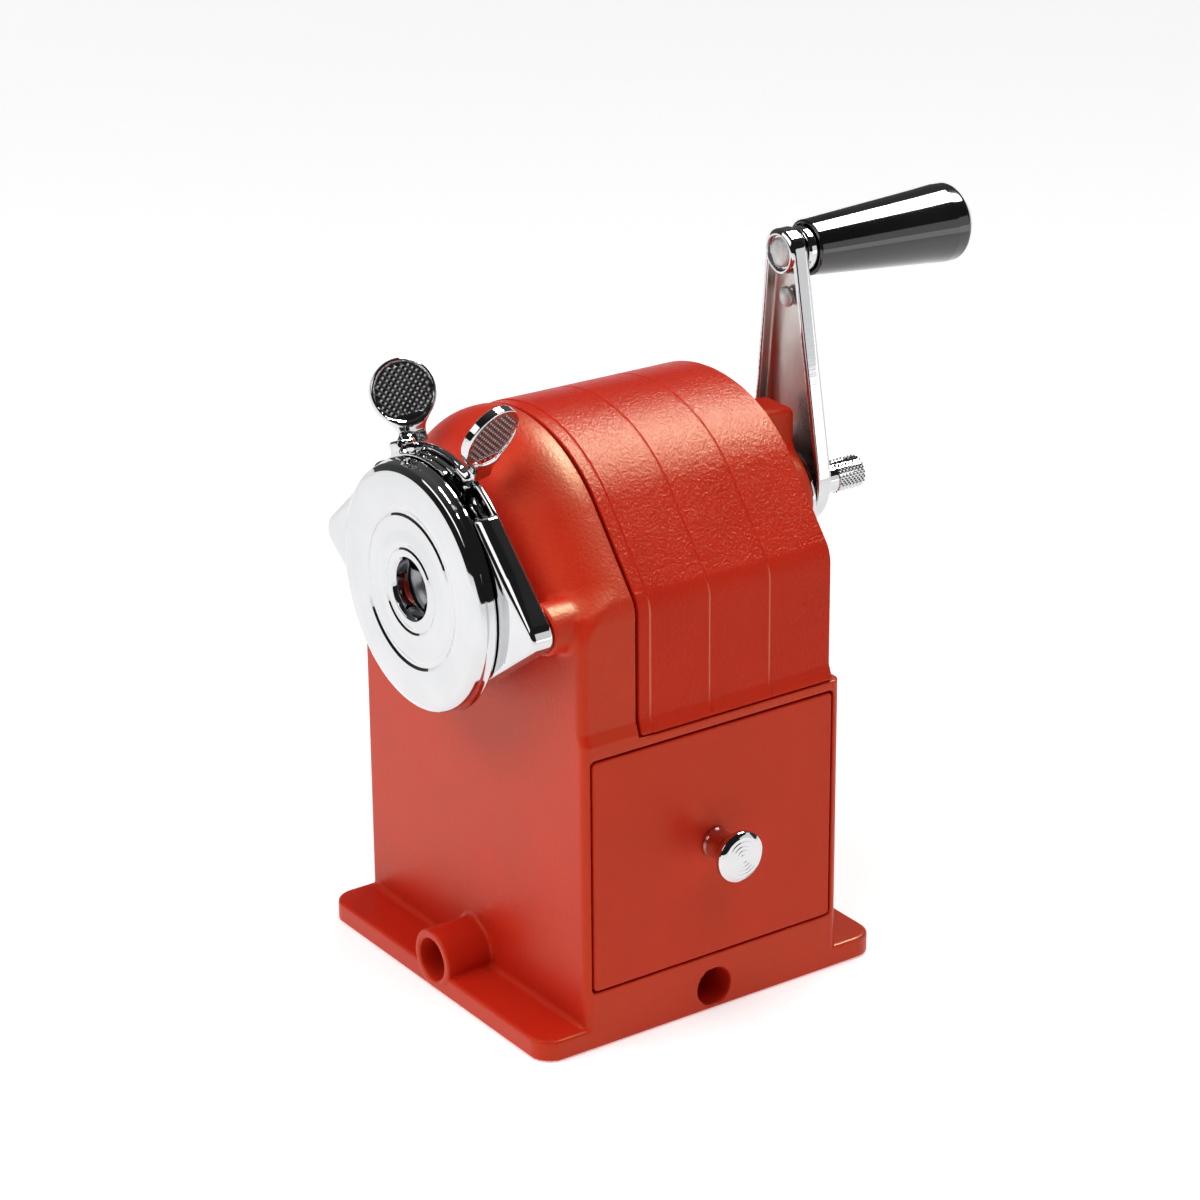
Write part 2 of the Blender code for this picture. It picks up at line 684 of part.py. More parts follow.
def lever_neck(side, y0, y1):
    """The arm that leaves the slot and widens to the finger pad."""
    thin, wide = 1.1, 0.95
    stations = [(20.5, y0, y1, thin), (28.9, y0, y1, thin), (30.4, -39.9, PAD_Y + 2.6, wide)]
    stations += [(33.5, -39.9, PAD_Y + 3.4, wide)]
    loops = []
    for reach, front, back, half in stations:
        corners = [(-half, front), (half, front), (half, back), (-half, back)]
        loops.append([(x, y, reach) for x, y in corners])
    return turned_by(loft(loops), side * LEVER_ANGLE, "Y")


def lever_spring(body):
    """The torsion spring that holds the jaws closed."""
    wire = coil(LEVER_SPRING_R, LEVER_WIRE_R, PLATE_FRONT + 0.4, PLATE_FRONT + 3.4, 2, 18, 5)
    return make_object("lever_spring", wire, steel(), body)


def jaw(pivot, name):
    """One of three jaws; made pointing along +X and turned by its pivot."""
    half = math.radians(48.0)
    y0, y1 = PLATE_FRONT + 0.3, PLATE_BACK - PLATE_WALL - GAP
    outline = arc(JAW_INNER, -half, half, 6) + arc(JAW_OUTER, half * 0.8, -half * 0.8, 6)
    return make_object(name, prism(outline, y0, y1), tool_steel(), pivot)


# ---------------------------------------------------------------- crank

def arm_outline(shrink):
    """A tapering arm between its hub end and its eye, from the crank axis upwards."""
    hub, eye = ARM_HUB_R - shrink, EYE_R - shrink
    run = ARM_LENGTH - ARM_HUB_RISE
    slope = math.asin((hub - eye) / run)
    lower = arc(hub, math.pi - slope, math.tau + slope, 14, 0.0, ARM_HUB_RISE)
    upper = arc(eye, slope, math.pi - slope, 10, 0.0, ARM_LENGTH)
    return lower + upper


def crank_arm(body):
    """A tapered channel, open towards the housing, with a solid eye for the grip."""
    piece = make_object("crank_arm", prism(arm_outline(0.0), ARM_FRONT, ARM_BACK), chrome(), body)
    cut(piece, prism(arm_outline(ARM_SKIN), ARM_FRONT - 1.0, ARM_BACK - ARM_SKIN), "channel")
    add(piece, rod(EYE_R - 0.05, ARM_FRONT, ARM_BACK, 28, 0.0, ARM_LENGTH), "eye")
    cut(piece, rod(EYE_BORE_R, ARM_FRONT - 1.0, ARM_BACK + 1.0, 20, 0.0, ARM_LENGTH), "eye_bore")
    cut(piece, rod(2.7, ARM_FRONT - 1.0, ARM_BACK + 1.0, 20), "knob_bore")
    cut(piece, rod(1.5, ARM_FRONT - 1.0, ARM_BACK + 1.0, 14, 0.0, ARM_LENGTH - RIVET_DROP), "rivet_bore")
    return piece


def crank_hub(body):
    """The collar between the bearing boss and the arm."""
    end = ARM_BACK - ARM_SKIN - GAP
    profile = [(SHAFT_R + GAP, BOSS_END + 0.4), (11.6, BOSS_END + 0.4), (11.6, ARM_FRONT - GAP)]
    profile += [(6.1, ARM_FRONT - GAP), (6.1, end), (SHAFT_R + GAP, end)]
    return make_object("crank_hub", turned(profile, 28), chrome(), body)


def crank_shaft(body):
    shaft = tube(SHAFT_BORE, SHAFT_R, 19.6, ARM_BACK - ARM_SKIN - GAP, 28)
    return make_object("crank_shaft", shaft, steel(), body)


def arm_rivet(body):
    """A headed pin through the arm's web below the eye."""
    z = ARM_LENGTH - RIVET_DROP
    profile = [(0, ARM_FRONT + 0.9), (2.2, ARM_FRONT + 0.9), (2.2, ARM_FRONT + 1.6), (1.2, ARM_FRONT + 1.6)]
    profile += [(1.2, ARM_BACK + 0.2), (0, ARM_BACK + 0.2)]
    return make_object("arm_rivet", turned(profile, 20, 0.0, z), chrome(), body)


def grip_axle(eye):
    """The rivet that the grip turns on, headed in the eye and at the grip's far end."""
    head = ARM_FRONT - ARM_MIDDLE - GAP
    tail = ARM_BACK - ARM_MIDDLE + GRIP_LENGTH - 3.0
    profile = [(0, head), (GRIP_AXLE_R, head), (GRIP_AXLE_R, tail), (0, tail)]
    return make_object("grip_axle", turned(profile, 20), steel(), eye)


def grip_ferrule(pivot):
    """The polished collar at the grip's near end."""
    start = ARM_BACK - ARM_MIDDLE + GAP
    end = ARM_FRONT - ARM_MIDDLE + GRIP_START + 1.2
    bore = GRIP_AXLE_R + 0.4
    profile = [(bore, start), (FERRULE_R, start), (FERRULE_R, end), (bore, end)]
    return make_object("grip_ferrule", turned(profile, 32), chrome(), pivot)


def handle_grip(pivot):
    """A round grip that widens to its far end, which is domed."""
    start = ARM_FRONT - ARM_MIDDLE + GRIP_START
    end = start + GRIP_LENGTH
    mouth = FERRULE_R + GAP
    profile = [(mouth, start + 1.6), (mouth, start), (5.8, start), (6.1, start + 0.5), (8.0, end - 10.0)]
    profile += [(8.55, end - 4.6), (8.35, end - 2.6), (7.4, end - 1.0), (5.6, end - 0.2), (0, end)]
    bore = GRIP_AXLE_R + 0.4
    profile += [(0, end - 4.0), (bore, end - 4.0), (bore, start + 1.6)]
    return make_object("handle_grip", turned(profile, 30), black_gloss(), pivot)


def adjuster_knob(pivot):
    """The knurled knob behind the crank, with the screw that moves the point stop."""
    knurl = KNOB_END - KNURL_LENGTH
    profile = [(0, 24.0), (1.9, 24.0), (1.9, ARM_BACK + GAP), (3.45, ARM_BACK + GAP), (3.45, knurl)]
    profile += [(KNURL_R, knurl + 0.3), (KNURL_R, KNOB_END - 0.5), (KNURL_R - 0.6, KNOB_END), (0, KNOB_END)]
    return make_object("adjuster_knob", turned(profile, 22), chrome(), pivot)


def point_stop(pivot):
    """The plunger that the pencil's point meets."""
    profile = [(0, 11.6), (1.2, 11.6), (1.9, 12.6), (1.9, 21.4), (0, 21.4)]
    return make_object("point_stop", turned(profile, 16), steel(), pivot)


# ---------------------------------------------------------------- cutter

def tooth_loop(teeth, tip, root, tip_half, root_half, phase):
    """Straight-sided teeth round a circle; the half widths are along the circle."""
    points = []
    for i in range(teeth):
        centre = phase + math.tau * i / teeth
        for radius, offset in ((root, -root_half), (tip, -tip_half), (tip, tip_half), (root, root_half)):
            angle = centre + offset / radius
            points.append((radius * math.cos(angle), radius * math.sin(angle)))
    return points


def cone_angles():
    """Pitch cone angles of the pinion and the ring gear."""
    ratio = RING_TEETH / PINION_TEETH
    pinion = math.atan2(math.sin(TILT), ratio - math.cos(TILT))
    return pinion, pinion + TILT


def ring_gear():
    """The fixed internal gear, whose teeth run towards the apex."""
    reach = APEX_Y - TOOTH_FRONT
    pitch = reach * math.tan(cone_angles()[1])
    phase = -math.pi / 2 + math.pi / RING_TEETH
    teeth = tooth_loop(RING_TEETH, pitch - 0.9, pitch + 1.3, 0.5, 1.25, phase)
    scale = (APEX_Y - RING_GEAR_BACK) / reach
    angles = [math.atan2(z, x) for x, z in teeth]

    def circle(radius, y):
        return [(radius * math.cos(a), y, radius * math.sin(a)) for a in angles]

    front = -BOX_Y + WALL + GAP
    outer = [circle(24.5, front), circle(24.5, RING_GEAR_STEP), circle(27.8, RING_GEAR_STEP),
             circle(27.8, RING_GEAR_BACK)]
    inner = [circle(21.0, front), circle(21.0, TOOTH_FRONT),
             [(x, TOOTH_FRONT, z) for x, z in teeth],
             [(x * scale, RING_GEAR_BACK, z * scale) for x, z in teeth]]
    return make_object("ring_gear", moved(hollow_loft(outer, inner), (0, 0, AXIS_Z)), tool_steel())


def cutter_pinion(pivot):
    """The gear on the cutter, made with the apex at its origin and its axis along -Y."""
    near, far = PINION_SPAN
    pitch = far * math.tan(cone_angles()[0])
    teeth = tooth_loop(PINION_TEETH, pitch + 0.9, pitch - 1.3, 0.42, 1.25, -math.pi / 2)
    scale = near / far
    angles = [math.atan2(z, x) for x, z in teeth]
    bore = [((AXLE_R + GAP) * math.cos(a), (AXLE_R + GAP) * math.sin(a)) for a in angles]
    outer = [[(x, -far, z) for x, z in teeth], [(x * scale, -near, z * scale) for x, z in teeth]]
    inner = [[(x, -far, z) for x, z in bore], [(x, -near, z) for x, z in bore]]
    return make_object("cutter_pinion", hollow_loft(outer, inner), tool_steel(), pivot)


def helical_cutter(pivot):
    """A fluted cylinder with helical blades."""
    near, far = CUTTER_SPAN
    steps = 7
    outer, inner = [], []
    for i in range(steps + 1):
        y = -near - (far - near) * i / steps
        twist = math.radians(70.0) * i / steps
        blades, bore = [], []
        for k in range(CUTTER_BLADES):
            base = twist + math.tau * k / CUTTER_BLADES
            for radius, shift in ((CUTTER_R, 0.0), (CUTTER_R - 1.6, 0.16), (CUTTER_R - 0.5, 0.48)):
                angle = base + shift
                blades.append((radius * math.cos(angle), y, radius * math.sin(angle)))
                bore.append(((AXLE_R + GAP) * math.cos(angle), y, (AXLE_R + GAP) * math.sin(angle)))
        outer.append(blades)
        inner.append(bore)
    return make_object("helical_cutter", hollow_loft(outer, inner), tool_steel(), pivot)


def cutter_axle(pivot):
    near, far = AXLE_SPAN
    return make_object("cutter_axle", rod(AXLE_R, -far, -near, 18), steel(), pivot)


def cutter_carrier(body, tilted):
    """The cage that carries the cutter round the pencil: a front ring, two rails and a rear hub."""
    piece = make_object("cutter_carrier", tube(7.0, CARRIER_R, -26.4, -22.9, 32), steel(), body)
    rear = [(2.6, 14.6), (CARRIER_R, 14.6), (CARRIER_R, 18.6), (8.6, 18.6), (8.6, 24.6)]
    rear += [(5.3, 24.6), (5.3, 19.3), (2.6, 19.3)]
    add(piece, turned(rear, 32), "rear")
    for centre in (0.0, math.pi):
        span = math.radians(24.0)
        outline = arc(CARRIER_R - 0.3, centre - span, centre + span, 5)
        outline += arc(CARRIER_R - 4.0, centre + span, centre - span, 5)
        add(piece, prism(outline, -24.0, 16.0), f"rail_{centre:.0f}")
    axle_room = rod(AXLE_R + GAP, -AXLE_SPAN[1] - 2.0, -AXLE_SPAN[0] + GAP, 18)
    hole = guide("cutter_carrier_axle_hole", axle_room, tilted)
    combine(piece, hole, "DIFFERENCE")
    return piece


# ---------------------------------------------------------------- assembly

def build_housing():
    base_housing()
    hood_cover()
    rear_cover()
    for i, (x, z) in enumerate(cover_screw_places()):
        rear_cover_screw(x, z, f"rear_cover_screw_{i + 1}")
    ring_gear()
    crank_bushing()
    for side, hand in ((-1, "left"), (1, "right")):
        guide_bush(side, f"guide_bush_{hand}")
        return_spring(side, f"return_spring_{hand}")


def build_drawer():
    body = empty("drawer_body", (0, 0, 0))
    drawer_front(body)
    drawer_tray(body)
    drawer_knob(body)
    drawer_knob_screw(body)


def build_chuck():
    body = empty("chuck_body", (0, 0, AXIS_Z))
    face_disc(body)
    chuck_plate(body)
    for i, (x, z) in enumerate(disc_screw_places()):
        disc_screw(body, x, z, f"disc_screw_{i + 1}")
    lever_spring(body)
    for side, hand in ((-1, "left"), (1, "right")):
        guide_rod(body, side, f"guide_rod_{hand}")
        rod_clip(body, side, f"rod_clip_{hand}")
        lever(body, f"lever_{hand}", side)
    for i in range(3):
        angle = math.radians(90.0 + 120.0 * i)
        pivot = empty(f"jaw_slide_{i + 1}", (0, 0, 0), (0.0, -angle, 0.0), body)
        jaw(pivot, f"jaw_{i + 1}")


def build_crank():
    axis = empty("crank_axis", (0, 0, AXIS_Z))
    crank_hub(axis)
    crank_shaft(axis)
    arm = empty("arm_direction", (0, 0, 0), (0.0, -ARM_LEAN, 0.0), axis)
    crank_arm(arm)
    arm_rivet(arm)
    eye = empty("grip_axis", (0, ARM_MIDDLE, ARM_LENGTH), (-GRIP_DROOP, 0.0, 0.0), arm)
    grip_axle(eye)
    grip_ferrule(eye)
    handle_grip(eye)
    adjuster_knob(axis)
    point_stop(axis)
    apex = empty("cutter_apex", (0, APEX_Y, 0), (TILT, 0.0, 0.0), axis)
    cutter_carrier(axis, apex)
    cutter_axle(apex)
    helical_cutter(apex)
    cutter_pinion(apex)


def main():
    clear_scene()
    build_housing()
    build_drawer()
    build_chuck()
    build_crank()


main()
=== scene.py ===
"""The finished looks of the crank pencil sharpener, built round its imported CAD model.

Lengths are in millimetres and become metres when a mesh is made. Solid shapes are written as distance
fields (negative inside), which are meshed on a grid whose lines are close together only where the shape
has detail; round pieces are turned profiles.
"""
import json
import math

import bpy
import numpy as np
from mathutils import Matrix, Vector


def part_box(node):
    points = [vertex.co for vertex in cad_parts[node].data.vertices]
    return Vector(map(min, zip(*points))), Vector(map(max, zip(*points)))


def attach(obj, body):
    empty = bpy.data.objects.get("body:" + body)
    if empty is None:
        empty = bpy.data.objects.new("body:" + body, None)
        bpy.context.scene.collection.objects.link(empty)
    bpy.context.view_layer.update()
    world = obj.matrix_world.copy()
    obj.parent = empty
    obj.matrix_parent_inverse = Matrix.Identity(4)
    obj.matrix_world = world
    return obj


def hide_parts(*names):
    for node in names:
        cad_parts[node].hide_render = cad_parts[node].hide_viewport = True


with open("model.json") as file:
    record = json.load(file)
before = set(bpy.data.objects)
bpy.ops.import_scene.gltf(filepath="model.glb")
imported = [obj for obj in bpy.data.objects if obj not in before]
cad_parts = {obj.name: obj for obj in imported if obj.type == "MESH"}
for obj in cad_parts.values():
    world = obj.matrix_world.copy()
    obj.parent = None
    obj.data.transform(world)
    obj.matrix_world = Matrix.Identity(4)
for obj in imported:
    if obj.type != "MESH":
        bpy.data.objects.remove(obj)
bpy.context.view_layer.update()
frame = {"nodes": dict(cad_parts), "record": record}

MM = 0.001


def corners(node):
    """The lowest and highest corner of a CAD node, in millimetres."""
    low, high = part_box(node)
    return low / MM, high / MM


# ---------------- sizes taken from the frame

BASE_HIGH = corners("base_housing")[1]
HOOD_LOW, HOOD_HIGH = corners("hood_cover")
COVER_LOW, COVER_HIGH = corners("rear_cover")
DISC_LOW, DISC_HIGH = corners("face_disc")
PLATE_LOW, PLATE_HIGH = corners("chuck_plate")
FRONT_LOW, FRONT_HIGH = corners("drawer_front")
TRAY_LOW, TRAY_HIGH = corners("drawer_tray")
KNOB_LOW, KNOB_HIGH = corners("drawer_knob")
KNURL_LOW, KNURL_HIGH = corners("adjuster_knob")
HUB_LOW, HUB_HIGH = corners("crank_hub")
KNOB_Z = (KNOB_LOW.z + KNOB_HIGH.z) / 2

AXIS_Z = (DISC_LOW.z + DISC_HIGH.z) / 2
DISC_R = (DISC_HIGH.z - DISC_LOW.z) / 2
BOX_X = BASE_HIGH.x
FLANGE_Y = BASE_HIGH.y
GAP = 0.3

# ---------------- sizes the boxes don't give

BOX_Y = 32.2  # half the depth of the lower body
BOX_TOP = HOOD_LOW.z - GAP
CORNER = 2.0
FLANGE_Z = 4.65
FLANGE_CORNER = 5.0
UPPER_X = BOX_X - 1.05
CREASE_Z = 94.8  # where the upright walls meet the slopes
ARCH_Z = 89.5  # centre and radius of the round top
ARCH_R = 34.7
FLARE_TOP = 70.0  # the walls step out between these heights
FLARE_LOW = 67.4
NOSE_ROUND = 11.5
CREASE_ROUND = 1.6
SHELL = 3.0
HOOD_WALL = 2.5
HOOD_DROP = 1.2  # the crown falls by this much from the parting line to the rear
GROOVE_Y = HOOD_LOW.y
HOOD_REAR = HOOD_HIGH.y
HOOD_LINES = (-15.3, -0.75, 14.3)

STOREY = 77.0  # the body's mesh has one grid below this height and one above
BAY_Y = 28.9
BAY_Z = (13.6, 63.0)
BAY_BACK = -38.5
RECESS_X = FRONT_LOW.x - GAP
RECESS_Y = (-30.6, 30.2)
RECESS_Z = (12.56, 64.4)
CHUTE_X = 22.0  # the opening that shavings fall through
CHUTE_Y = (-21.5, 24.0)

BOSS_Z = 6.7
BOSS_R = 6.55
BOSS_BORE = 4.64
SIDE_BORE_Z = 4.95
SIDE_BORE_R = 4.24
BORE_DEPTH = 24.0

ROD_X = 33.3
ROD_HOLE = 2.8
GUIDE_R = 5.25
GUIDE_BORE = 4.1
GUIDE_LENGTH = 13.0
PENCIL_WAY = 9.0

SCREW_HOLE = 1.6
KNOB_HOLE = 1.9


# ---------------- distance fields

def round_max(a, b, r):
    """The overlap of two fields, with an edge of radius r."""
    return np.minimum(np.maximum(a, b), -r) + np.hypot(np.maximum(a + r, 0.0), np.maximum(b + r, 0.0))


def round_min(a, b, r):
    """Two fields joined, with a fillet of radius r."""
    return np.maximum(np.minimum(a, b), r) - np.hypot(np.maximum(r - a, 0.0), np.maximum(r - b, 0.0))


def span(value, low, high):
    """Distance outside the range from low to high."""
    return np.abs(value - (low + high) / 2) - (high - low) / 2


def block(x, y, z, limits, r):
    """A box with rounded edges; limits are three pairs."""
    sides = [span(v, *pair) + r for v, pair in zip((x, y, z), limits)]
    outside = np.sqrt(sum(np.maximum(side, 0.0) ** 2 for side in sides))
    return outside + np.minimum(np.maximum(np.maximum(sides[0], sides[1]), sides[2]), 0.0) - r


def smooth_step(t):
    t = np.clip(t, 0.0, 1.0)
    return t * t * (3.0 - 2.0 * t)


def ridge(value, place, half):
    """1 on a line at place, falling to 0 within about twice the half width."""
    return np.exp(-((value - place) / half) ** 2)


# ---------------- meshing

def lines(low, high, fine, coarse, places, reach=1.2, growth=0.3):
    """Grid lines that are close together near the given places."""
    values = [low]
    while values[-1] < high:
        away = min(abs(values[-1] - place) for place in places) - reach
        values.append(values[-1] + min(max(fine + growth * away, fine), coarse))
    return np.array(values)


def lines_round(pair, margin, fine, coarse, reach, extra=()):
    """Grid lines across a range, close together at its ends and at the extra places."""
    return lines(pair[0] - margin, pair[1] + margin, fine, coarse, [*pair, *extra], reach)


EDGES = [(0, b, c) for b in (0, 1) for c in (0, 1)]
CYCLES = ((0, 1, 2), (1, 2, 0), (2, 0, 1))


def cell_corner(values, offsets):
    """The array seen from one corner of every cell."""
    return values[tuple(slice(o, s - 1 + o) for o, s in zip(offsets, values.shape))]


def net(field, grid):
    """Vertices and quads of the surface where a field on a grid is zero (surface nets)."""
    xs, ys, zs = grid
    shape = (len(xs), len(ys), len(zs))
    values = np.broadcast_to(field(xs[:, None, None], ys[None, :, None], zs[None, None, :]), shape)
    inside = values < 0.0
    total = np.zeros([n - 1 for n in shape], np.uint8)
    for corner in np.ndindex(2, 2, 2):
        total += cell_corner(inside, corner)
    active = (total > 0) & (total < 8)
    cells = np.argwhere(active)
    index = np.full(active.shape, -1, np.int64)
    index[active] = np.arange(len(cells))
    points = np.zeros((len(cells), 3))
    crossings = np.zeros(len(cells))
    for a, b, c in CYCLES:
        for _, offset_b, offset_c in EDGES:
            start = cells.copy()
            start[:, b] += offset_b
            start[:, c] += offset_c
            end = start.copy()
            end[:, a] += 1
            near, far = values[tuple(start.T)], values[tuple(end.T)]
            crossed = (near < 0.0) != (far < 0.0)
            part = near[crossed] / (near[crossed] - far[crossed])
            low = np.stack([grid[k][start[crossed, k]] for k in range(3)], 1)
            high = np.stack([grid[k][end[crossed, k]] for k in range(3)], 1)
            points[crossed] += low + part[:, None] * (high - low)
            crossings[crossed] += 1
    points /= crossings[:, None]
    quads = []
    for a, b, c in CYCLES:
        order = np.moveaxis(inside, (a, b, c), (0, 1, 2))
        cell_order = np.moveaxis(index, (a, b, c), (0, 1, 2))
        low, high = order[:-1, 1:-1, 1:-1], order[1:, 1:-1, 1:-1]
        for flip, changed in ((False, low & ~high), (True, ~low & high)):
            i, j, k = np.nonzero(changed)
            ring = [cell_order[i, j, k], cell_order[i, j + 1, k], cell_order[i, j + 1, k + 1],
                    cell_order[i, j, k + 1]]
            quads.append(np.stack(ring[::-1] if flip else ring, 1))
    sizes = np.stack([np.diff(grid[k])[cells[:, k]] for k in range(3)], 1)
    return points, np.concatenate(quads), sizes.max(1)


def gradient(field, points, step):
    """Central differences of a field at points."""
    result = np.zeros_like(points)
    for k in range(3):
        ahead, behind = points.copy(), points.copy()
        ahead[:, k] += step
        behind[:, k] -= step
        result[:, k] = (field(*ahead.T) - field(*behind.T)) / (2 * step)
    return result


def surface(field, grid):
    """Points and quads of a field's surface, with the points moved onto it."""
    points, quads, sizes = net(field, grid)
    for _ in range(4):
        slope = gradient(field, points, 0.02)
        steepness = np.maximum((slope ** 2).sum(1), 0.05)
        move = -field(*points.T)[:, None] * slope / steepness[:, None]
        length = np.linalg.norm(move, axis=1)
        limit = 0.45 * sizes
        points = points + move * np.minimum(1.0, limit / np.maximum(length, 1e-9))[:, None]
    return points, quads


def solid(name, field, grid, material, matrix=None, blur=0.06, inside=None):
    """An object for a distance field. inside is a second material and the test that says where it goes."""
    points, quads = surface(field, grid)
    return dressed(name, field, points, quads, material, matrix, blur, inside)


def two_storeys(name, field, level, low_grid, high_grid, material):
    """A tall object with one grid below a level and another above it. They meet on upright walls."""
    shared = [level - 0.3, level + 0.3]
    low_lines = low_grid[2][low_grid[2] < level - 0.5]
    high_lines = high_grid[2][high_grid[2] > level + 0.5]
    low = surface(field, (*low_grid[:2], np.concatenate([low_lines, shared])))
    high = surface(field, (*high_grid[:2], np.concatenate([shared, high_lines])))
    points = np.concatenate([low[0], high[0]])
    quads = np.concatenate([low[1], high[1] + len(low[0])])
    return dressed(name, field, points, quads, material)


def dressed(name, field, points, quads, material, matrix=None, blur=0.06, inside=None):
    """An object for points on a field's surface, with its normals read from the field itself."""
    normals = gradient(field, points, blur)
    normals /= np.maximum(np.linalg.norm(normals, axis=1), 1e-9)[:, None]
    centres = points[quads].mean(1)
    if matrix is not None:
        turn = np.array(matrix.to_3x3())
        points = points @ turn.T + np.array(matrix.translation)
        normals = normals @ turn.T
    piece = mesh_object(name, points, quads, material, normals)
    if inside is not None:
        second, test = inside
        piece.data.materials.append(second)
        piece.data.polygons.foreach_set("material_index", test(*centres.T).astype(np.int32))
    return piece


def new_object(name, data):
    """An object in the scene's collection."""
    made = bpy.data.objects.new(name, data)
    bpy.context.scene.collection.objects.link(made)
    return made


def mesh_object(name, points, faces, material, normals=None, sharp=None):
    """An object from points in millimetres; smooth, with sharp edges above an angle in degrees."""
    mesh = bpy.data.meshes.new(name)
    mesh.from_pydata((np.asarray(points) * MM).tolist(), [], [list(map(int, face)) for face in faces])
    mesh.validate()
    mesh.shade_smooth()
    if sharp is not None:
        mesh.set_sharp_from_angle(angle=math.radians(sharp))
    if normals is not None:
        mesh.normals_split_custom_set_from_vertices(normals.tolist())
    mesh.materials.append(material)
    return new_object(name, mesh)


def softened(profile, steps=5):
    """A profile of (radius, y, round) points with its corners rounded."""
    result = []
    for i, (radius, y, size) in enumerate(profile):
        here = Vector((radius, y))
        if size <= 0.0 or i in (0, len(profile) - 1):
            result.append(here)
            continue
        before = Vector(profile[i - 1][:2]) - here
        after = Vector(profile[i + 1][:2]) - here
        bend = before.angle(after)
        reach = min(size / math.tan(bend / 2), before.length * 0.49, after.length * 0.49)
        start, end = here + before.normalized() * reach, here + after.normalized() * reach
        for k in range(steps + 1):
            t = k / steps
            result.append(start * (1 - t) ** 2 + here * 2 * t * (1 - t) + end * t ** 2)
    return result


def circle(radius, y, count):
    """Points round the Y axis."""
    angles = [math.tau * i / count for i in range(count)]
    return [(radius * math.sin(angle), y, radius * math.cos(angle)) for angle in angles]


def skin(rings, closed=False):
    """Faces between neighbouring rings of point numbers; a ring of one point is a pole."""
    faces = []
    pairs = list(zip(rings, rings[1:]))
    if closed:
        pairs.append((rings[-1], rings[0]))
    for near, far in pairs:
        count = max(len(near), len(far))
        for i in range(count if count > 1 else 0):
            j = (i + 1) % count
            if len(near) == 1:
                faces.append((near[0], far[j], far[i]))
            elif len(far) == 1:
                faces.append((near[i], near[j], far[0]))
            else:
                faces.append((near[i], near[j], far[j], far[i]))
    return faces


def turned(name, profile, material, matrix, segments=96, steps=5, closed=False, sharp=28.0):
    """A piece turned about +Y from a profile of (radius, y, round) points, outer side first point to last."""
    points, rings = [], []
    for radius, y in softened(profile, steps):
        ring = [(0.0, y, 0.0)] if radius < 1e-6 else circle(radius, y, segments)
        rings.append(range(len(points), len(points) + len(ring)))
        points += ring
    placed = [matrix @ Vector(point) for point in points]
    return mesh_object(name, placed, skin(rings, closed), material, sharp=sharp)


def place(piece, body, slot, *nodes):
    """Let a piece ride on a body and stand for CAD nodes, which are hidden; the slot argument is not used."""
    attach(piece, body)
    if nodes:
        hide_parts(*nodes)


# ---------------- materials

MIX_FIRST_COLOUR, MIX_SECOND_COLOUR, MIX_COLOUR = 6, 7, 2  # a Mix node's colour sockets


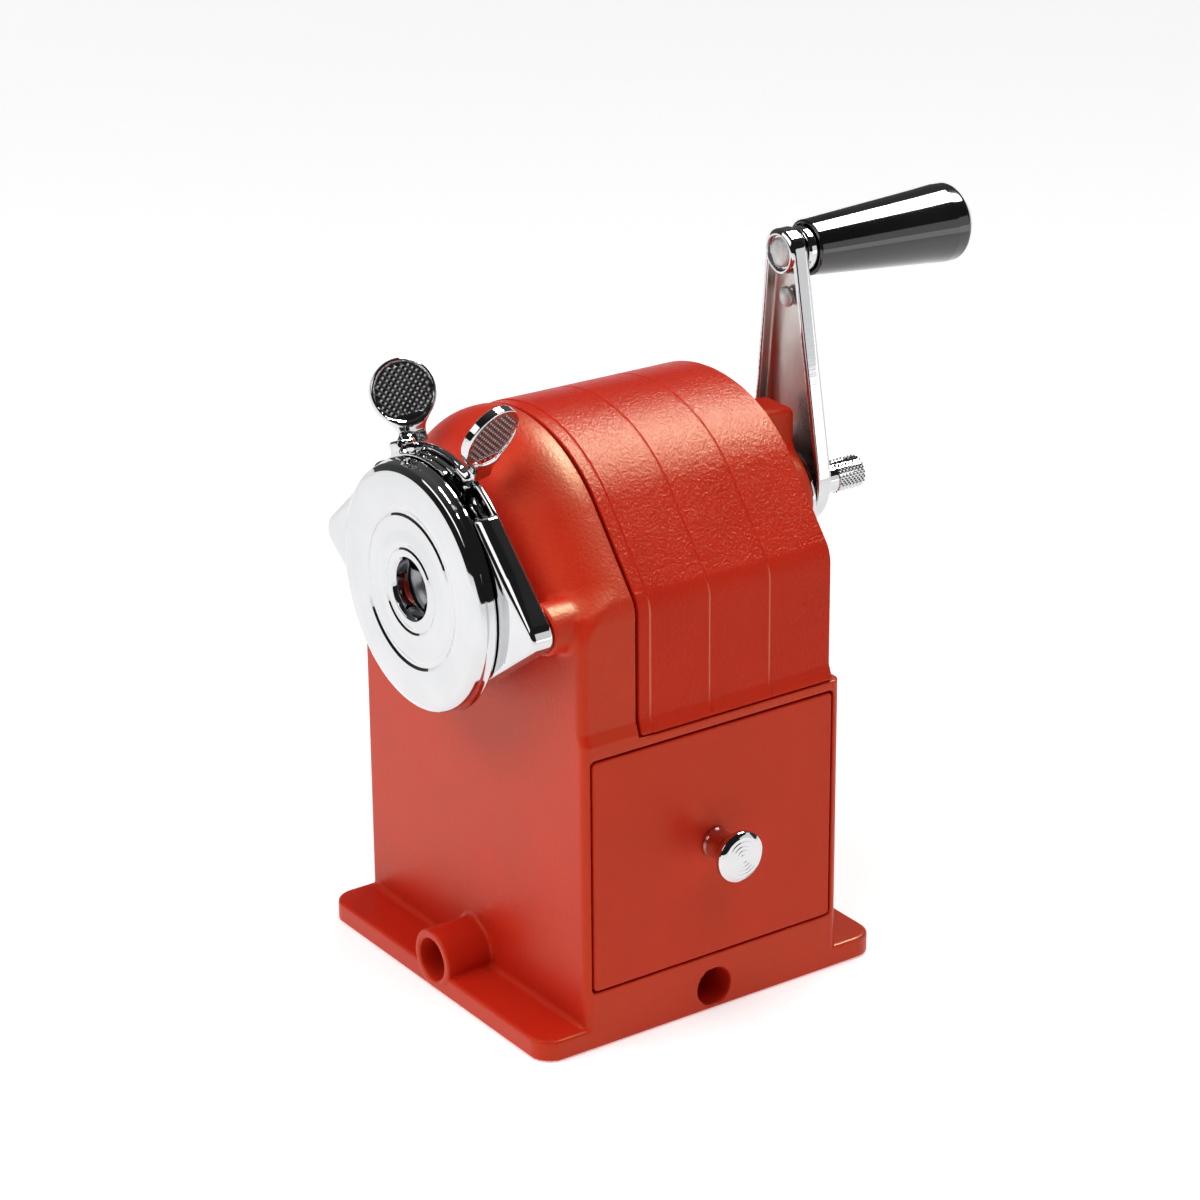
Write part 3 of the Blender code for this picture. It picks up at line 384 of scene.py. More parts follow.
class Nodes:
    """A short way to write a Principled material's nodes."""

    def __init__(self, name, **values):
        self.material = bpy.data.materials.new(name)
        self.material.use_nodes = True
        self.tree = self.material.node_tree
        self.shader = self.tree.nodes["Principled BSDF"]
        for socket, value in values.items():
            self.shader.inputs[socket.replace("_", " ")].default_value = value
        self.position = self.new("ShaderNodeTexCoord").outputs["Object"]

    def new(self, kind, **values):
        node = self.tree.nodes.new(kind)
        for name, value in values.items():
            setattr(node, name, value)
        return node

    def link(self, source, target):
        self.tree.links.new(source, target)

    def feed(self, source, socket):
        """Link a socket, or set it to a number or a colour."""
        if isinstance(source, tuple):
            socket.default_value = (*source, 1.0)
        elif isinstance(source, (int, float)):
            socket.default_value = source
        else:
            self.link(source, socket)

    def noise(self, scale, detail=3.0, roughness=0.5, stretch=None):
        node = self.new("ShaderNodeTexNoise")
        node.inputs["Scale"].default_value = scale
        node.inputs["Detail"].default_value = detail
        node.inputs["Roughness"].default_value = roughness
        place_from = self.position
        if stretch is not None:
            mapping = self.new("ShaderNodeMapping")
            mapping.inputs["Scale"].default_value = stretch
            self.link(self.position, mapping.inputs["Vector"])
            place_from = mapping.outputs["Vector"]
        self.link(place_from, node.inputs["Vector"])
        return node.outputs["Fac"]

    def ramp(self, source, *stops):
        node = self.new("ShaderNodeValToRGB")
        ramp = node.color_ramp
        while len(ramp.elements) < len(stops):
            ramp.elements.new(0.5)
        for element, (at, colour) in zip(ramp.elements, stops):
            element.position = at
            element.color = (*colour, 1.0)
        self.link(source, node.inputs["Fac"])
        return node.outputs["Color"]

    def fit(self, source, low, high, start=0.0, end=1.0):
        """Map a value from start..end onto low..high."""
        node = self.new("ShaderNodeMapRange")
        node.inputs["From Min"].default_value = start
        node.inputs["From Max"].default_value = end
        node.inputs["To Min"].default_value = low
        node.inputs["To Max"].default_value = high
        self.link(source, node.inputs["Value"])
        return node.outputs["Result"]

    def maths(self, operation, a, b):
        node = self.new("ShaderNodeMath", operation=operation)
        self.feed(a, node.inputs[0])
        self.feed(b, node.inputs[1])
        return node.outputs["Value"]

    def mix(self, amount, first, second):
        node = self.new("ShaderNodeMix", data_type="RGBA")
        self.feed(amount, node.inputs["Factor"])
        self.feed(first, node.inputs[MIX_FIRST_COLOUR])
        self.feed(second, node.inputs[MIX_SECOND_COLOUR])
        return node.outputs[MIX_COLOUR]

    def axis(self, letter):
        """One coordinate of the surface, in metres."""
        node = self.new("ShaderNodeSeparateXYZ")
        self.link(self.position, node.inputs["Vector"])
        return node.outputs[letter]

    def finish(self, colour, roughness):
        """Link the colour and roughness of the surface."""
        self.link(colour, self.shader.inputs["Base Color"])
        self.link(roughness, self.shader.inputs["Roughness"])

    def bump(self, *layers):
        """Stack bump layers of (value, distance in millimetres)."""
        normal = None
        for value, distance in layers:
            node = self.new("ShaderNodeBump")
            node.inputs["Distance"].default_value = distance * MM
            self.link(value, node.inputs["Height"])
            if normal is not None:
                self.link(normal, node.inputs["Normal"])
            normal = node.outputs["Normal"]
        self.link(normal, self.shader.inputs["Normal"])


LEDGE_RANGE = (0.064, 0.072)  # metres: the enamel changes to its upper kind between these heights
SEAM_HIGHLIGHT_UNDER = (0.0930, 0.0960)  # the painted highlight lines fade out between these heights
SEAM_HIGHLIGHT_OVER = (0.0685, 0.0730)
SEAM_HIGHLIGHT_HALF = (0.00007, 0.00026)  # half widths of a painted highlight line's core and of its fringe
# pale red painted along the hood's seams on the upright walls: a painted highlight where the seams' edges
# catch the light
SEAM_HIGHLIGHT_RED = (0.86, 0.24, 0.14)
DEEP_RED = (0.46, 0.015, 0.005)
DUSKY_RED = (0.57, 0.0205, 0.0076)
BRIGHT_RED = (0.63, 0.0245, 0.009)


def seam_highlight_at(nodes, place_y):
    """How strongly the painted highlight shows round a seam at a place along Y; it covers only the upright
    walls.
    """
    off = nodes.maths("SUBTRACT", nodes.axis("Y"), place_y * MM)
    edge = nodes.fit(nodes.maths("ABSOLUTE", off, 0.0), 0.8, 0.0, *SEAM_HIGHLIGHT_HALF)
    under = nodes.fit(nodes.axis("Z"), 1.0, 0.0, *SEAM_HIGHLIGHT_UNDER)
    over = nodes.fit(nodes.axis("Z"), 0.0, 1.0, *SEAM_HIGHLIGHT_OVER)
    return nodes.maths("MULTIPLY", edge, nodes.maths("MULTIPLY", under, over))


def red_paint(name, specular, tint, leather, dulled, highlight_lines=()):
    """Stove enamel on die-cast metal.

    leather is the strength of its grain below and above the ledge, and dulled is how much rougher it gets
    above. Along the given seam lines the colour is lightened into a painted highlight where the seams cross
    the walls.
    """
    nodes = Nodes(name, Specular_IOR_Level=specular, Specular_Tint=(*tint, 1.0))
    upper = nodes.fit(nodes.axis("Z"), 0.0, 1.0, *LEDGE_RANGE)
    cloud = nodes.noise(55.0, 3.0)
    grain = nodes.noise(1500.0, 2.0, 0.55)
    colour = nodes.ramp(cloud, (0.25, DUSKY_RED), (0.75, BRIGHT_RED))
    colour = nodes.mix(nodes.fit(grain, 0.0, 0.16), colour, DEEP_RED)
    # painted highlight: pale red along each seam on the upright walls
    for place_y in highlight_lines:
        colour = nodes.mix(seam_highlight_at(nodes, place_y), colour, SEAM_HIGHLIGHT_RED)
    duller = nodes.maths("MULTIPLY", upper, dulled)
    nodes.finish(colour, nodes.maths("ADD", nodes.fit(cloud, 0.32, 0.39), duller))
    strength = nodes.fit(upper, *leather)
    skin = nodes.maths("MULTIPLY", nodes.noise(1350.0, 3.0, 0.6), strength)
    waves = nodes.maths("MULTIPLY", nodes.noise(420.0, 2.0), strength)
    nodes.bump((waves, 0.035), (skin, 0.1))
    return nodes.material


def plated(name, colour, roughness, scratch=0.004, clouds=0.02):
    """Polished plating, with faint polishing marks and smudges."""
    nodes = Nodes(name, Metallic=1.0)
    smudge = nodes.noise(90.0, 4.0)
    darker = tuple(c * 0.94 for c in colour)
    rough = nodes.fit(smudge, roughness, roughness + clouds, 0.3, 0.75)
    nodes.finish(nodes.ramp(smudge, (0.3, darker), (0.7, colour)), rough)
    marks = nodes.noise(700.0, 4.0, 0.6, (1.0, 0.2, 1.0))
    nodes.bump((marks, scratch))
    return nodes.material


def machined(name, colour, roughness, stretch):
    """Turned or ground metal: fine lines along its cut."""
    nodes = Nodes(name, Metallic=1.0)
    grain = nodes.noise(900.0, 4.0, 0.6, stretch)
    patch = nodes.noise(120.0, 3.0)
    darker = tuple(c * 0.72 for c in colour)
    rough = nodes.fit(patch, roughness * 0.85, roughness * 1.2)
    nodes.finish(nodes.ramp(grain, (0.3, darker), (0.7, colour)), rough)
    nodes.bump((grain, 0.02))
    return nodes.material


def black_lacquer():
    """The grip's black: deep gloss over turned wood, with faint waves."""
    nodes = Nodes("black_lacquer", Coat_Weight=0.6, Coat_Roughness=0.03, Specular_IOR_Level=0.55)
    wave = nodes.noise(70.0, 2.0)
    black = nodes.ramp(wave, (0.3, (0.006, 0.006, 0.0065)), (0.7, (0.011, 0.011, 0.012)))
    nodes.finish(black, nodes.fit(wave, 0.06, 0.11))
    nodes.bump((wave, 0.02))
    return nodes.material


def moulded_plastic():
    """The tray's dark plastic, with a fine moulded grain."""
    nodes = Nodes("tray_plastic", Specular_IOR_Level=0.45)
    cloud = nodes.noise(60.0, 3.0)
    grain = nodes.noise(2400.0, 2.0)
    grey = nodes.ramp(cloud, (0.3, (0.022, 0.022, 0.023)), (0.7, (0.036, 0.036, 0.038)))
    nodes.finish(grey, nodes.fit(grain, 0.42, 0.58))
    nodes.bump((grain, 0.03))
    return nodes.material


WARM = (1.0, 0.9, 0.4)
PALE_WARM = (1.0, 0.93, 0.45)
RED = red_paint("red_enamel", 0.34, WARM, (0.4, 1.0), 0.05)
RED_LEATHER = red_paint("red_enamel_leather", 0.13, PALE_WARM, (1.6, 1.9), -0.07, HOOD_LINES)
RED_SMOOTH = red_paint("red_enamel_smooth", 0.27, WARM, (0.4, 0.4), 0.0)
CHROME = plated("chrome_plate", (0.67, 0.675, 0.685), 0.035)
# The next two chromes are for the pads' pyramids. A near-black copy of the chrome goes on their sides as
# painted dark reflection, and a pale rough copy goes on their tips as painted glint.
PAINTED_GLINT_CHROME = plated("chrome_painted_tip_glint", (0.8, 0.805, 0.81), 0.45)
PAINTED_DARK_CHROME = plated("chrome_painted_dark_reflection", (0.13, 0.13, 0.132), 0.2, 0.01, 0.1)
# a darker, warmer, rougher copy of the chrome for the inside of the crank's channel: painted shade, with a
# painted reflection of the red body
CHANNEL_SHADE_CHROME = plated("chrome_painted_channel_shade", (0.62, 0.56, 0.53), 0.26, 0.05, 0.16)
STEEL = machined("turned_steel", (0.56, 0.57, 0.59), 0.3, (1.0, 8.0, 1.0))
TOOL_STEEL = machined("ground_steel", (0.34, 0.35, 0.37), 0.34, (1.0, 1.0, 6.0))
RIVET_STEEL = machined("rivet_steel", (0.80, 0.805, 0.81), 0.5, (1.0, 1.0, 1.0))
BRONZE = machined("bearing_bronze", (0.56, 0.36, 0.15), 0.38, (1.0, 8.0, 1.0))
BLACK = black_lacquer()
PLASTIC = moulded_plastic()


# ---------------- housing

TOUCH = math.atan2(CREASE_Z - ARCH_Z, UPPER_X) + math.acos(ARCH_R / math.hypot(UPPER_X, CREASE_Z - ARCH_Z))


def upper_section(x, y, z):
    """The round top, its straight slopes and the upright walls; and the radius of their front edge."""
    side = np.abs(x)
    rise = z - ARCH_Z
    lean = np.clip(np.arctan2(rise, side + 1e-9), TOUCH, math.pi / 2)
    drop = HOOD_DROP * np.clip((y - GROOVE_Y) / (HOOD_REAR - GROOVE_Y), 0.0, 1.0)
    roof = side * np.cos(lean) + rise * np.sin(lean) - ARCH_R + drop * smooth_step((lean - TOUCH) * 1.2)
    half = UPPER_X + (BOX_X - UPPER_X) * np.clip((FLARE_TOP - z) / (FLARE_TOP - FLARE_LOW), 0.0, 1.0)
    wall = side - half
    front_round = CORNER + (NOSE_ROUND - CORNER) * smooth_step((roof - wall) / 8.0 + 0.5)
    return round_max(roof, wall, CREASE_ROUND), front_round


def nose_field(x, y, z, inset=0.0):
    """The rounded front of the upper body, or the hollow at an inset from it."""
    section, front_round = upper_section(x, y, z)
    return round_max(section + inset, -(BOX_Y - inset) - y, np.maximum(front_round - inset, 0.5))


def flange_field(x, y, z):
    outline = round_max(np.abs(x) - BOX_X, np.abs(y) - FLANGE_Y, FLANGE_CORNER)
    return round_max(outline, z - FLANGE_Z, 0.8)


def cylinder_y(x, z, cx, cz, radius):
    return np.hypot(x - cx, z - cz) - radius


def body_outside(x, y, z):
    """The lower box, nose, foot, clamp boss and rod guides, before anything is hollowed out."""
    box = round_max(np.abs(x) - BOX_X, np.abs(y) - BOX_Y, CORNER)
    box = round_max(box, z - BOX_TOP, 0.3)
    nose = round_max(nose_field(x, y, z), y - (GROOVE_Y - 0.55), 0.4)
    nose = np.maximum(nose, BOX_TOP - SHELL - z)
    body = np.minimum(box, nose)
    fillet = 1.3 * np.clip((BOX_X - np.abs(x)) / 2.4, 0.02, 1.0)
    body = round_min(body, flange_field(x, y, z), fillet)
    boss = round_max(cylinder_y(x, z, 0.0, BOSS_Z, BOSS_R), -(FLANGE_Y + 0.2) - y, 0.55)
    boss = np.maximum(boss, y + BOX_Y - 1.0)
    body = round_min(body, boss, 0.9 * np.clip((y + FLANGE_Y) / 2.0, 0.02, 1.0))
    for sign in (-1, 1):
        guide = round_max(cylinder_y(x, z, sign * ROD_X, AXIS_Z, GUIDE_R), PLATE_HIGH.y + GAP - y, 0.4)
        body = round_min(body, np.maximum(guide, y + BOX_Y - GUIDE_LENGTH), 1.1)
    return round_max(body, -z, 0.3)


def body_field(x, y, z):
    """The body with its drawer bay, chute, works chamber and bores."""
    body = body_outside(x, y, z)
    side = np.abs(x)
    recess = np.maximum(RECESS_X - x, round_max(span(y, *RECESS_Y), span(z, *RECESS_Z), 0.9))
    body = round_max(body, -recess, 0.35)
    bay = np.maximum(BAY_BACK - x, round_max(np.abs(y) - BAY_Y, span(z, *BAY_Z), 1.0))
    body = round_max(body, -bay, 0.3)
    chute = np.maximum(span(y, *CHUTE_Y), span(z, BAY_Z[1] - 1.0, BOX_TOP + 1.0))
    body = np.maximum(body, -np.maximum(side - CHUTE_X, chute))
    chamber = np.maximum(nose_field(x, y, z, SHELL), np.maximum(side - (UPPER_X - SHELL), BOX_TOP - z))
    body = np.maximum(body, -chamber)
    pocket = np.maximum(span(side, 9.0, BOX_X - SHELL), span(np.abs(y), 9.0, BOX_Y - SHELL))
    body = np.maximum(body, -np.maximum(pocket, z - (BAY_Z[0] - SHELL)))
    front_bore = np.maximum(cylinder_y(x, z, 0.0, BOSS_Z, BOSS_BORE), y - (BORE_DEPTH - FLANGE_Y))
    body = round_max(body, -front_bore, 0.45)
    side_bore = np.maximum(np.hypot(y, z - SIDE_BORE_Z) - SIDE_BORE_R, BOX_X - BORE_DEPTH - side)
    body = round_max(body, -side_bore, 0.35)
    guide_bore = np.maximum(np.hypot(side - ROD_X, z - AXIS_Z) - GUIDE_BORE, y + BOX_Y - SHELL - 2.0)
    body = np.maximum(body, -guide_bore)
    way = np.maximum(cylinder_y(x, z, 0.0, AXIS_Z, PENCIL_WAY), y + BOX_Y - SHELL - 2.0)
    return np.maximum(body, -way)


def body_shell():
    fine_x = [s * v for s in (-1, 1) for v in (BOX_X, UPPER_X, RECESS_X)]
    fine_x += [-29.0, -37.0, 29.0, 37.0, -7.0, -5.0, 5.0, 7.0]
    xs = lines(-BOX_X - 1.2, BOX_X + 1.3, 0.47, 1.8, fine_x, 0.9)
    fine_y = [-FLANGE_Y, FLANGE_Y, -BOX_Y, BOX_Y, GROOVE_Y - 0.6, RECESS_Y[0], RECESS_Y[1], -4.3, 4.3, -38.0]
    ys = lines(-FLANGE_Y - 1.4, FLANGE_Y + 1.2, 0.46, 1.8, fine_y, 1.0)
    fine_z = [0.0, FLANGE_Z, 2.0, 11.0, RECESS_Z[0], RECESS_Z[1], BOX_TOP, FLARE_LOW, FLARE_TOP]
    zs = lines(-1.0, STOREY + 1.0, 0.46, 2.2, fine_z, 0.9)
    high_xs = lines(-UPPER_X - 1.0, UPPER_X + 1.2, 0.52, 0.72, [-UPPER_X, -ROD_X, ROD_X, UPPER_X], 3.0)
    high_ys = lines(-38.2, GROOVE_Y + 1.0, 0.32, 0.72, [PLATE_HIGH.y + GAP, GROOVE_Y - 0.6], 0.8)
    high_zs = lines(STOREY - 1.0, 125.5, 0.52, 0.72, [STOREY, AXIS_Z, 123.0], 3.0)
    low_grid, high_grid = (xs, ys, zs), (high_xs, high_ys, high_zs)
    piece = two_storeys("body_shell", body_field, STOREY, low_grid, high_grid, RED)
    place(piece, "housing", "red_paint", "base_housing")


STRIP_DEPTH = 0.2  # the hood's front strip lies this much lower
SEAM_DEPTH = 0.16
SEAM_HALF = 0.17


def hood_field(x, y, z):
    """The bent shell, with its front strip and three seams."""
    section, _ = upper_section(x, y, z)
    strip = STRIP_DEPTH * smooth_step((HOOD_LINES[0] - y) / 0.5 + 0.5)
    seams = sum(SEAM_DEPTH * ridge(y, place_y, SEAM_HALF) for place_y in HOOD_LINES)
    outer = section + strip + seams
    inner = section + HOOD_WALL
    hood = np.maximum(outer, -np.maximum(inner, np.abs(x) - (UPPER_X - HOOD_WALL)))
    hood = round_max(hood, span(y, GROOVE_Y + 0.25, HOOD_REAR), 0.3)
    return round_max(hood, HOOD_LOW.z - z, 0.2)


def hood_shell():
    xs = lines(-BOX_X - 1.0, BOX_X + 1.2, 0.45, 0.66, [-BOX_X, -UPPER_X, UPPER_X, BOX_X], 0.8)
    seams = list(HOOD_LINES) + [GROOVE_Y + 0.3, HOOD_REAR]
    ys = lines(GROOVE_Y - 0.6, HOOD_REAR + 0.5, 0.13, 2.4, seams, 0.3, 0.4)
    zs = lines(BOX_TOP - 0.8, 125.2, 0.45, 0.66, [HOOD_LOW.z, FLARE_LOW, FLARE_TOP, CREASE_Z], 0.8)
    piece = solid("hood_shell", hood_field, (xs, ys, zs), RED_LEATHER)
    place(piece, "housing", "red_paint", "hood_cover")


COVER_SCREWS = ((-31.0, 74.0), (31.0, 74.0), (-26.0, 104.0), (26.0, 104.0))


BEARING_R = 7.8
LUG_HALF = 5.1


def rear_field(x, y, z):
    """The rear wall with the bell-shaped bearing boss and the stop lug above it."""
    section, _ = upper_section(x, y, z)
    inside = section + HOOD_WALL + GAP + 0.1
    wall = np.maximum(inside, np.abs(x) - (UPPER_X - HOOD_WALL - GAP))
    back = HOOD_REAR - 0.4
    wall = round_max(round_max(wall, span(y, back - 2.8, back), 0.35), HOOD_LOW.z - z, 0.3)
    distance = np.hypot(x, z - AXIS_Z)
    reach = y - back
    bell = 12.9 + 6.0 * np.exp(-np.maximum(reach, -1.0) / 4.2)
    boss_end = COVER_HIGH.y - 0.3
    boss = np.maximum(distance - bell, back - 1.5 - y) * 0.85
    boss = round_max(boss, y - boss_end, 1.1)
    lug_top = z - AXIS_Z - (21.9 - 0.09 * reach)
    lug = round_max(np.abs(x) - LUG_HALF, np.maximum(lug_top, back - 1.5 - y), 1.6)
    lug = round_max(lug, y - COVER_HIGH.y, 1.0)
    lug = np.maximum(lug, AXIS_Z + 9.0 + np.maximum(y - boss_end + 2.0, 0.0) * 1.6 - z)
    cover = round_min(wall, boss, 2.2)
    cover = round_min(cover, lug, 1.4)
    cover = round_max(cover, BEARING_R - distance, 0.3)
    for cx, cz in COVER_SCREWS:
        cover = np.maximum(cover, SCREW_HOLE - np.hypot(x - cx, z - cz))
    return cover


def rear_wall():
    fine_x = [sign * place_x for sign in (-1, 1) for place_x in (31.0, 26.0, LUG_HALF, UPPER_X - 3, 12.0)]
    xs = lines(-UPPER_X, UPPER_X, 0.45, 1.4, fine_x, 1.6)
    ys = lines(COVER_LOW.y - 0.8, COVER_HIGH.y + 0.9, 0.4, 1.0, [COVER_LOW.y, HOOD_REAR, COVER_HIGH.y], 1.0)
    zs = lines(BOX_TOP - 0.5, 123.5, 0.45, 1.4, [HOOD_LOW.z, 74.0, 104.0, 113.0, 79.0, 120.0], 1.8)
    piece = solid("rear_wall", rear_field, (xs, ys, zs), RED)
    place(piece, "housing", "red_paint", "rear_cover")


# ---------------- drawer

def drawer_face():
    """The red front of the drawer."""
    limits = list(zip(FRONT_LOW, FRONT_HIGH))

    def field(x, y, z):
        outline = round_max(span(y, *limits[1]), span(z, *limits[2]), 1.0)
        slab = round_max(outline, x - limits[0][1], 0.4)
        slab = round_max(slab, limits[0][0] - x, 0.2)
        return np.maximum(slab, KNOB_HOLE - np.hypot(y, z - KNOB_Z))

    xs = lines_round(limits[0], 0.6, 0.25, 0.8, 0.4)
    ys = lines_round(limits[1], 0.8, 0.3, 2.0, 1.0, (-KNOB_HOLE, KNOB_HOLE))
    zs = lines_round(limits[2], 0.8, 0.3, 2.0, 1.0, (KNOB_Z - KNOB_HOLE, KNOB_Z + KNOB_HOLE))
    piece = solid("drawer_face", field, (xs, ys, zs), RED_SMOOTH)
    place(piece, "drawer", "red_paint", "drawer_front")


def shavings_tray():
    """The open tray behind the front."""
    limits = list(zip(TRAY_LOW, TRAY_HIGH))
    wall = 1.6
    inside = [(low + wall, high - wall) for low, high in limits]

    def field(x, y, z):
        tray = block(x, y, z, limits, 1.2)
        hollow = block(x, y, z, inside[:2] + [(inside[2][0], limits[2][1] + 8.0)], 2.0)
        tray = round_max(tray, -hollow, 0.5)
        return np.maximum(tray, -np.maximum(np.hypot(y, z - KNOB_Z) - 1.5, inside[0][0] + 20.0 - x))

    xs = lines_round(limits[0], 0.8, 0.4, 2.4, 2.2)
    ys = lines_round(limits[1], 0.8, 0.4, 2.4, 2.0, (-1.5, 1.5))
    zs = lines_round(limits[2], 0.8, 0.4, 2.4, 2.2, (KNOB_Z,))
    piece = solid("shavings_tray", field, (xs, ys, zs), PLASTIC)
    place(piece, "drawer", "dark_plastic", "drawer_tray")


def pull_knob():
    """The turned knob, with fine rings cut in its domed face."""
    start, face = KNOB_LOW.x, KNOB_HIGH.x
    radius = (KNOB_HIGH.z - KNOB_LOW.z) / 2
    rings = []
    for ring in (4.5, 3.6, 2.7, 1.8, 0.9):
        top = face - 0.55 * (ring / radius) ** 2
        rings += [(ring + 0.16, top, 0), (ring, top + 0.07, 0), (ring - 0.16, top, 0)]
    profile = [(1.5, start, 0), (3.5, start, 0.2), (3.15, start + 0.8, 0.4), (3.05, start + 3.2, 1.0),
               (3.7, start + 5.0, 1.0), (radius - 0.35, face - 2.5, 0.5), (radius, face - 1.9, 0.35),
               (radius, face - 1.0, 0.45), (radius - 0.55, face - 0.6, 0.2)]
    profile += rings + [(0.3, face, 0), (0, face, 0), (0, face - 3.0, 0), (1.5, face - 3.0, 0)]
    turn = Matrix.Translation((0.0, 0.0, KNOB_Z)) @ Matrix.Rotation(-math.pi / 2, 4, "Z")
    piece = turned("pull_knob", profile, CHROME, turn, 96, closed=True, sharp=40)
    place(piece, "drawer", "chrome", "drawer_knob")


# ---------------- chuck

CHUCK = Matrix.Translation((0.0, 0.0, AXIS_Z))
PLATE_TOP_R = 28.4
PLATE_LOW_R = 23.8
EAR_Z = 1.8
EAR_X = PLATE_HIGH.x
POCKET_R = 22.2
SLOT_X = 19.9
SLOT_FLOOR = 17.8


def chuck_disc():
    """The stepped disc: a broad flat ring, a bead, a dished ring and a raised collar round the opening."""
    back = DISC_HIGH.y - DISC_LOW.y
    start = CHUCK @ Matrix.Translation((0.0, DISC_LOW.y, 0.0))
    profile = [(6.1, back, 0), (6.1, 1.2, 0.5), (6.75, 0.35, 0.45), (8.1, 0.32, 0.3), (8.6, 0.56, 0.16),
               (9.2, 0.6, 0.16), (9.75, 0.34, 0.3), (12.4, 0.75, 3.0), (15.15, 0.42, 0.3),
               (15.75, 0.7, 0.16), (16.45, 0.7, 0.16), (17.1, 0.38, 0.3), (18.6, 0.14, 1.2),
               (21.5, 0.0, 3.0), (24.3, 0.25, 1.2), (25.7, 1.0, 0.9), (DISC_R, 2.1, 0.6),
               (DISC_R, back - 1.2, 0), (DISC_R + 0.5, back - 0.3, 0.25), (DISC_R + 0.5, back, 0)]
    piece = turned("chuck_disc", profile, CHROME, start, 160, 6, closed=True, sharp=40)
    place(piece, "chuck", "chrome", "face_disc")


def plate_field(x, y, z):
    """The plate with its two ears, relative to the crank axis."""
    side = np.abs(x)
    reach, lean = math.hypot(EAR_X, EAR_Z), math.atan2(EAR_Z, EAR_X)
    high = lean + math.acos(PLATE_TOP_R / reach)
    low = lean + math.acos(PLATE_LOW_R / reach)
    up = np.clip(np.arctan2(z, side + 1e-9), high, math.pi / 2)
    down = np.clip(np.arctan2(-z, side + 1e-9), low, math.pi / 2)
    top = side * np.cos(up) + z * np.sin(up) - PLATE_TOP_R
    bottom = side * np.cos(down) - z * np.sin(down) - PLATE_LOW_R
    outline = round_max(round_max(top, bottom, 1.0), side - EAR_X, 1.4)
    nearness = np.clip((EAR_X - 0.5 - side) / 9.0, 0.0, 1.0)
    edge = 0.9 + 1.7 * nearness * smooth_step((z + 2.0) / 4.0)
    plate = round_max(outline, PLATE_LOW.y - y, edge)
    plate = round_max(plate, y - PLATE_HIGH.y, 0.7)
    radius = np.hypot(x, z)
    inner = PLATE_HIGH.y - 1.5
    plate = round_max(plate, -np.maximum(radius - POCKET_R, y - inner), 0.3)
    floor = SLOT_FLOOR + np.maximum(side - 15.0, 0.0) * 0.55
    slot = np.maximum(side - SLOT_X, np.maximum(floor - z, y - inner))
    plate = round_max(plate, -slot, 0.8)
    plate = np.maximum(plate, -(radius - 6.7))
    for sign in (-1, 1):
        rod_hole = np.maximum(np.hypot(x - sign * ROD_X, z) - ROD_HOLE, PLATE_LOW.y + 1.2 - y)
        plate = np.maximum(plate, -rod_hole)
    return plate


def chuck_back():
    xs = lines(-EAR_X - 1.0, EAR_X + 1.1, 0.38, 0.8, [-EAR_X, EAR_X, -SLOT_X, SLOT_X, -ROD_X, ROD_X], 2.2)
    ys = lines(PLATE_LOW.y - 0.6, PLATE_HIGH.y + 0.6, 0.3, 0.5, [PLATE_LOW.y, PLATE_HIGH.y], 1.5)
    zs = lines(-PLATE_TOP_R - 0.8, PLATE_TOP_R + 1.0, 0.38, 0.8, [0.0, SLOT_FLOOR, PLATE_TOP_R - 2.0], 3.0)
    piece = solid("chuck_back", plate_field, (xs, ys, zs), CHROME, CHUCK)
    place(piece, "chuck", "chrome", "chuck_plate")


LEVER_ANGLE = math.radians(24.4)
PAD_TWIST = math.radians(12.0)
PAD_R = 7.0
PAD_REACH = 38.8
PAD_Y = -36.3
PAD_HALF = 1.05
LEVER_THICK = 1.4
RING_R = (14.6, 21.5)
STRIP_R = (25.4, 27.2)  # the other lever's foot passes just outside the strip
FOOT_R = (28.0, 29.5)
BLADE_REACH = (28.1, 34.5)
CHEQUER_PITCH = 1.04
PYRAMID_FACES = 6
TIP_HALF = 0.2
SQUARE = ((-1, -1), (1, -1), (1, 1), (-1, 1))


def pyramids(radius, pitch, base, top):
    """Closed, blunt pyramids in rows on a round face that looks along +X; each one's last face is its tip."""
    points, faces = [], []
    count = int(radius / pitch) + 2
    steps = range(-count, count + 1)
    for a, b in ((i * pitch, j * pitch) for i in steps for j in steps):
        if math.hypot(a, b) > radius - 0.35 * pitch:
            continue
        first = len(points)
        for x, half in ((base, pitch * 0.49), (top, TIP_HALF)):
            points += [(x, a + da * half, b + db * half) for da, db in SQUARE]
        for k in range(4):
            n = (k + 1) % 4
            faces.append((first + k, first + n, first + 4 + n, first + 4 + k))
        faces.append((first + 3, first + 2, first + 1, first))
        faces.append((first + 4, first + 5, first + 6, first + 7))
    return points, faces


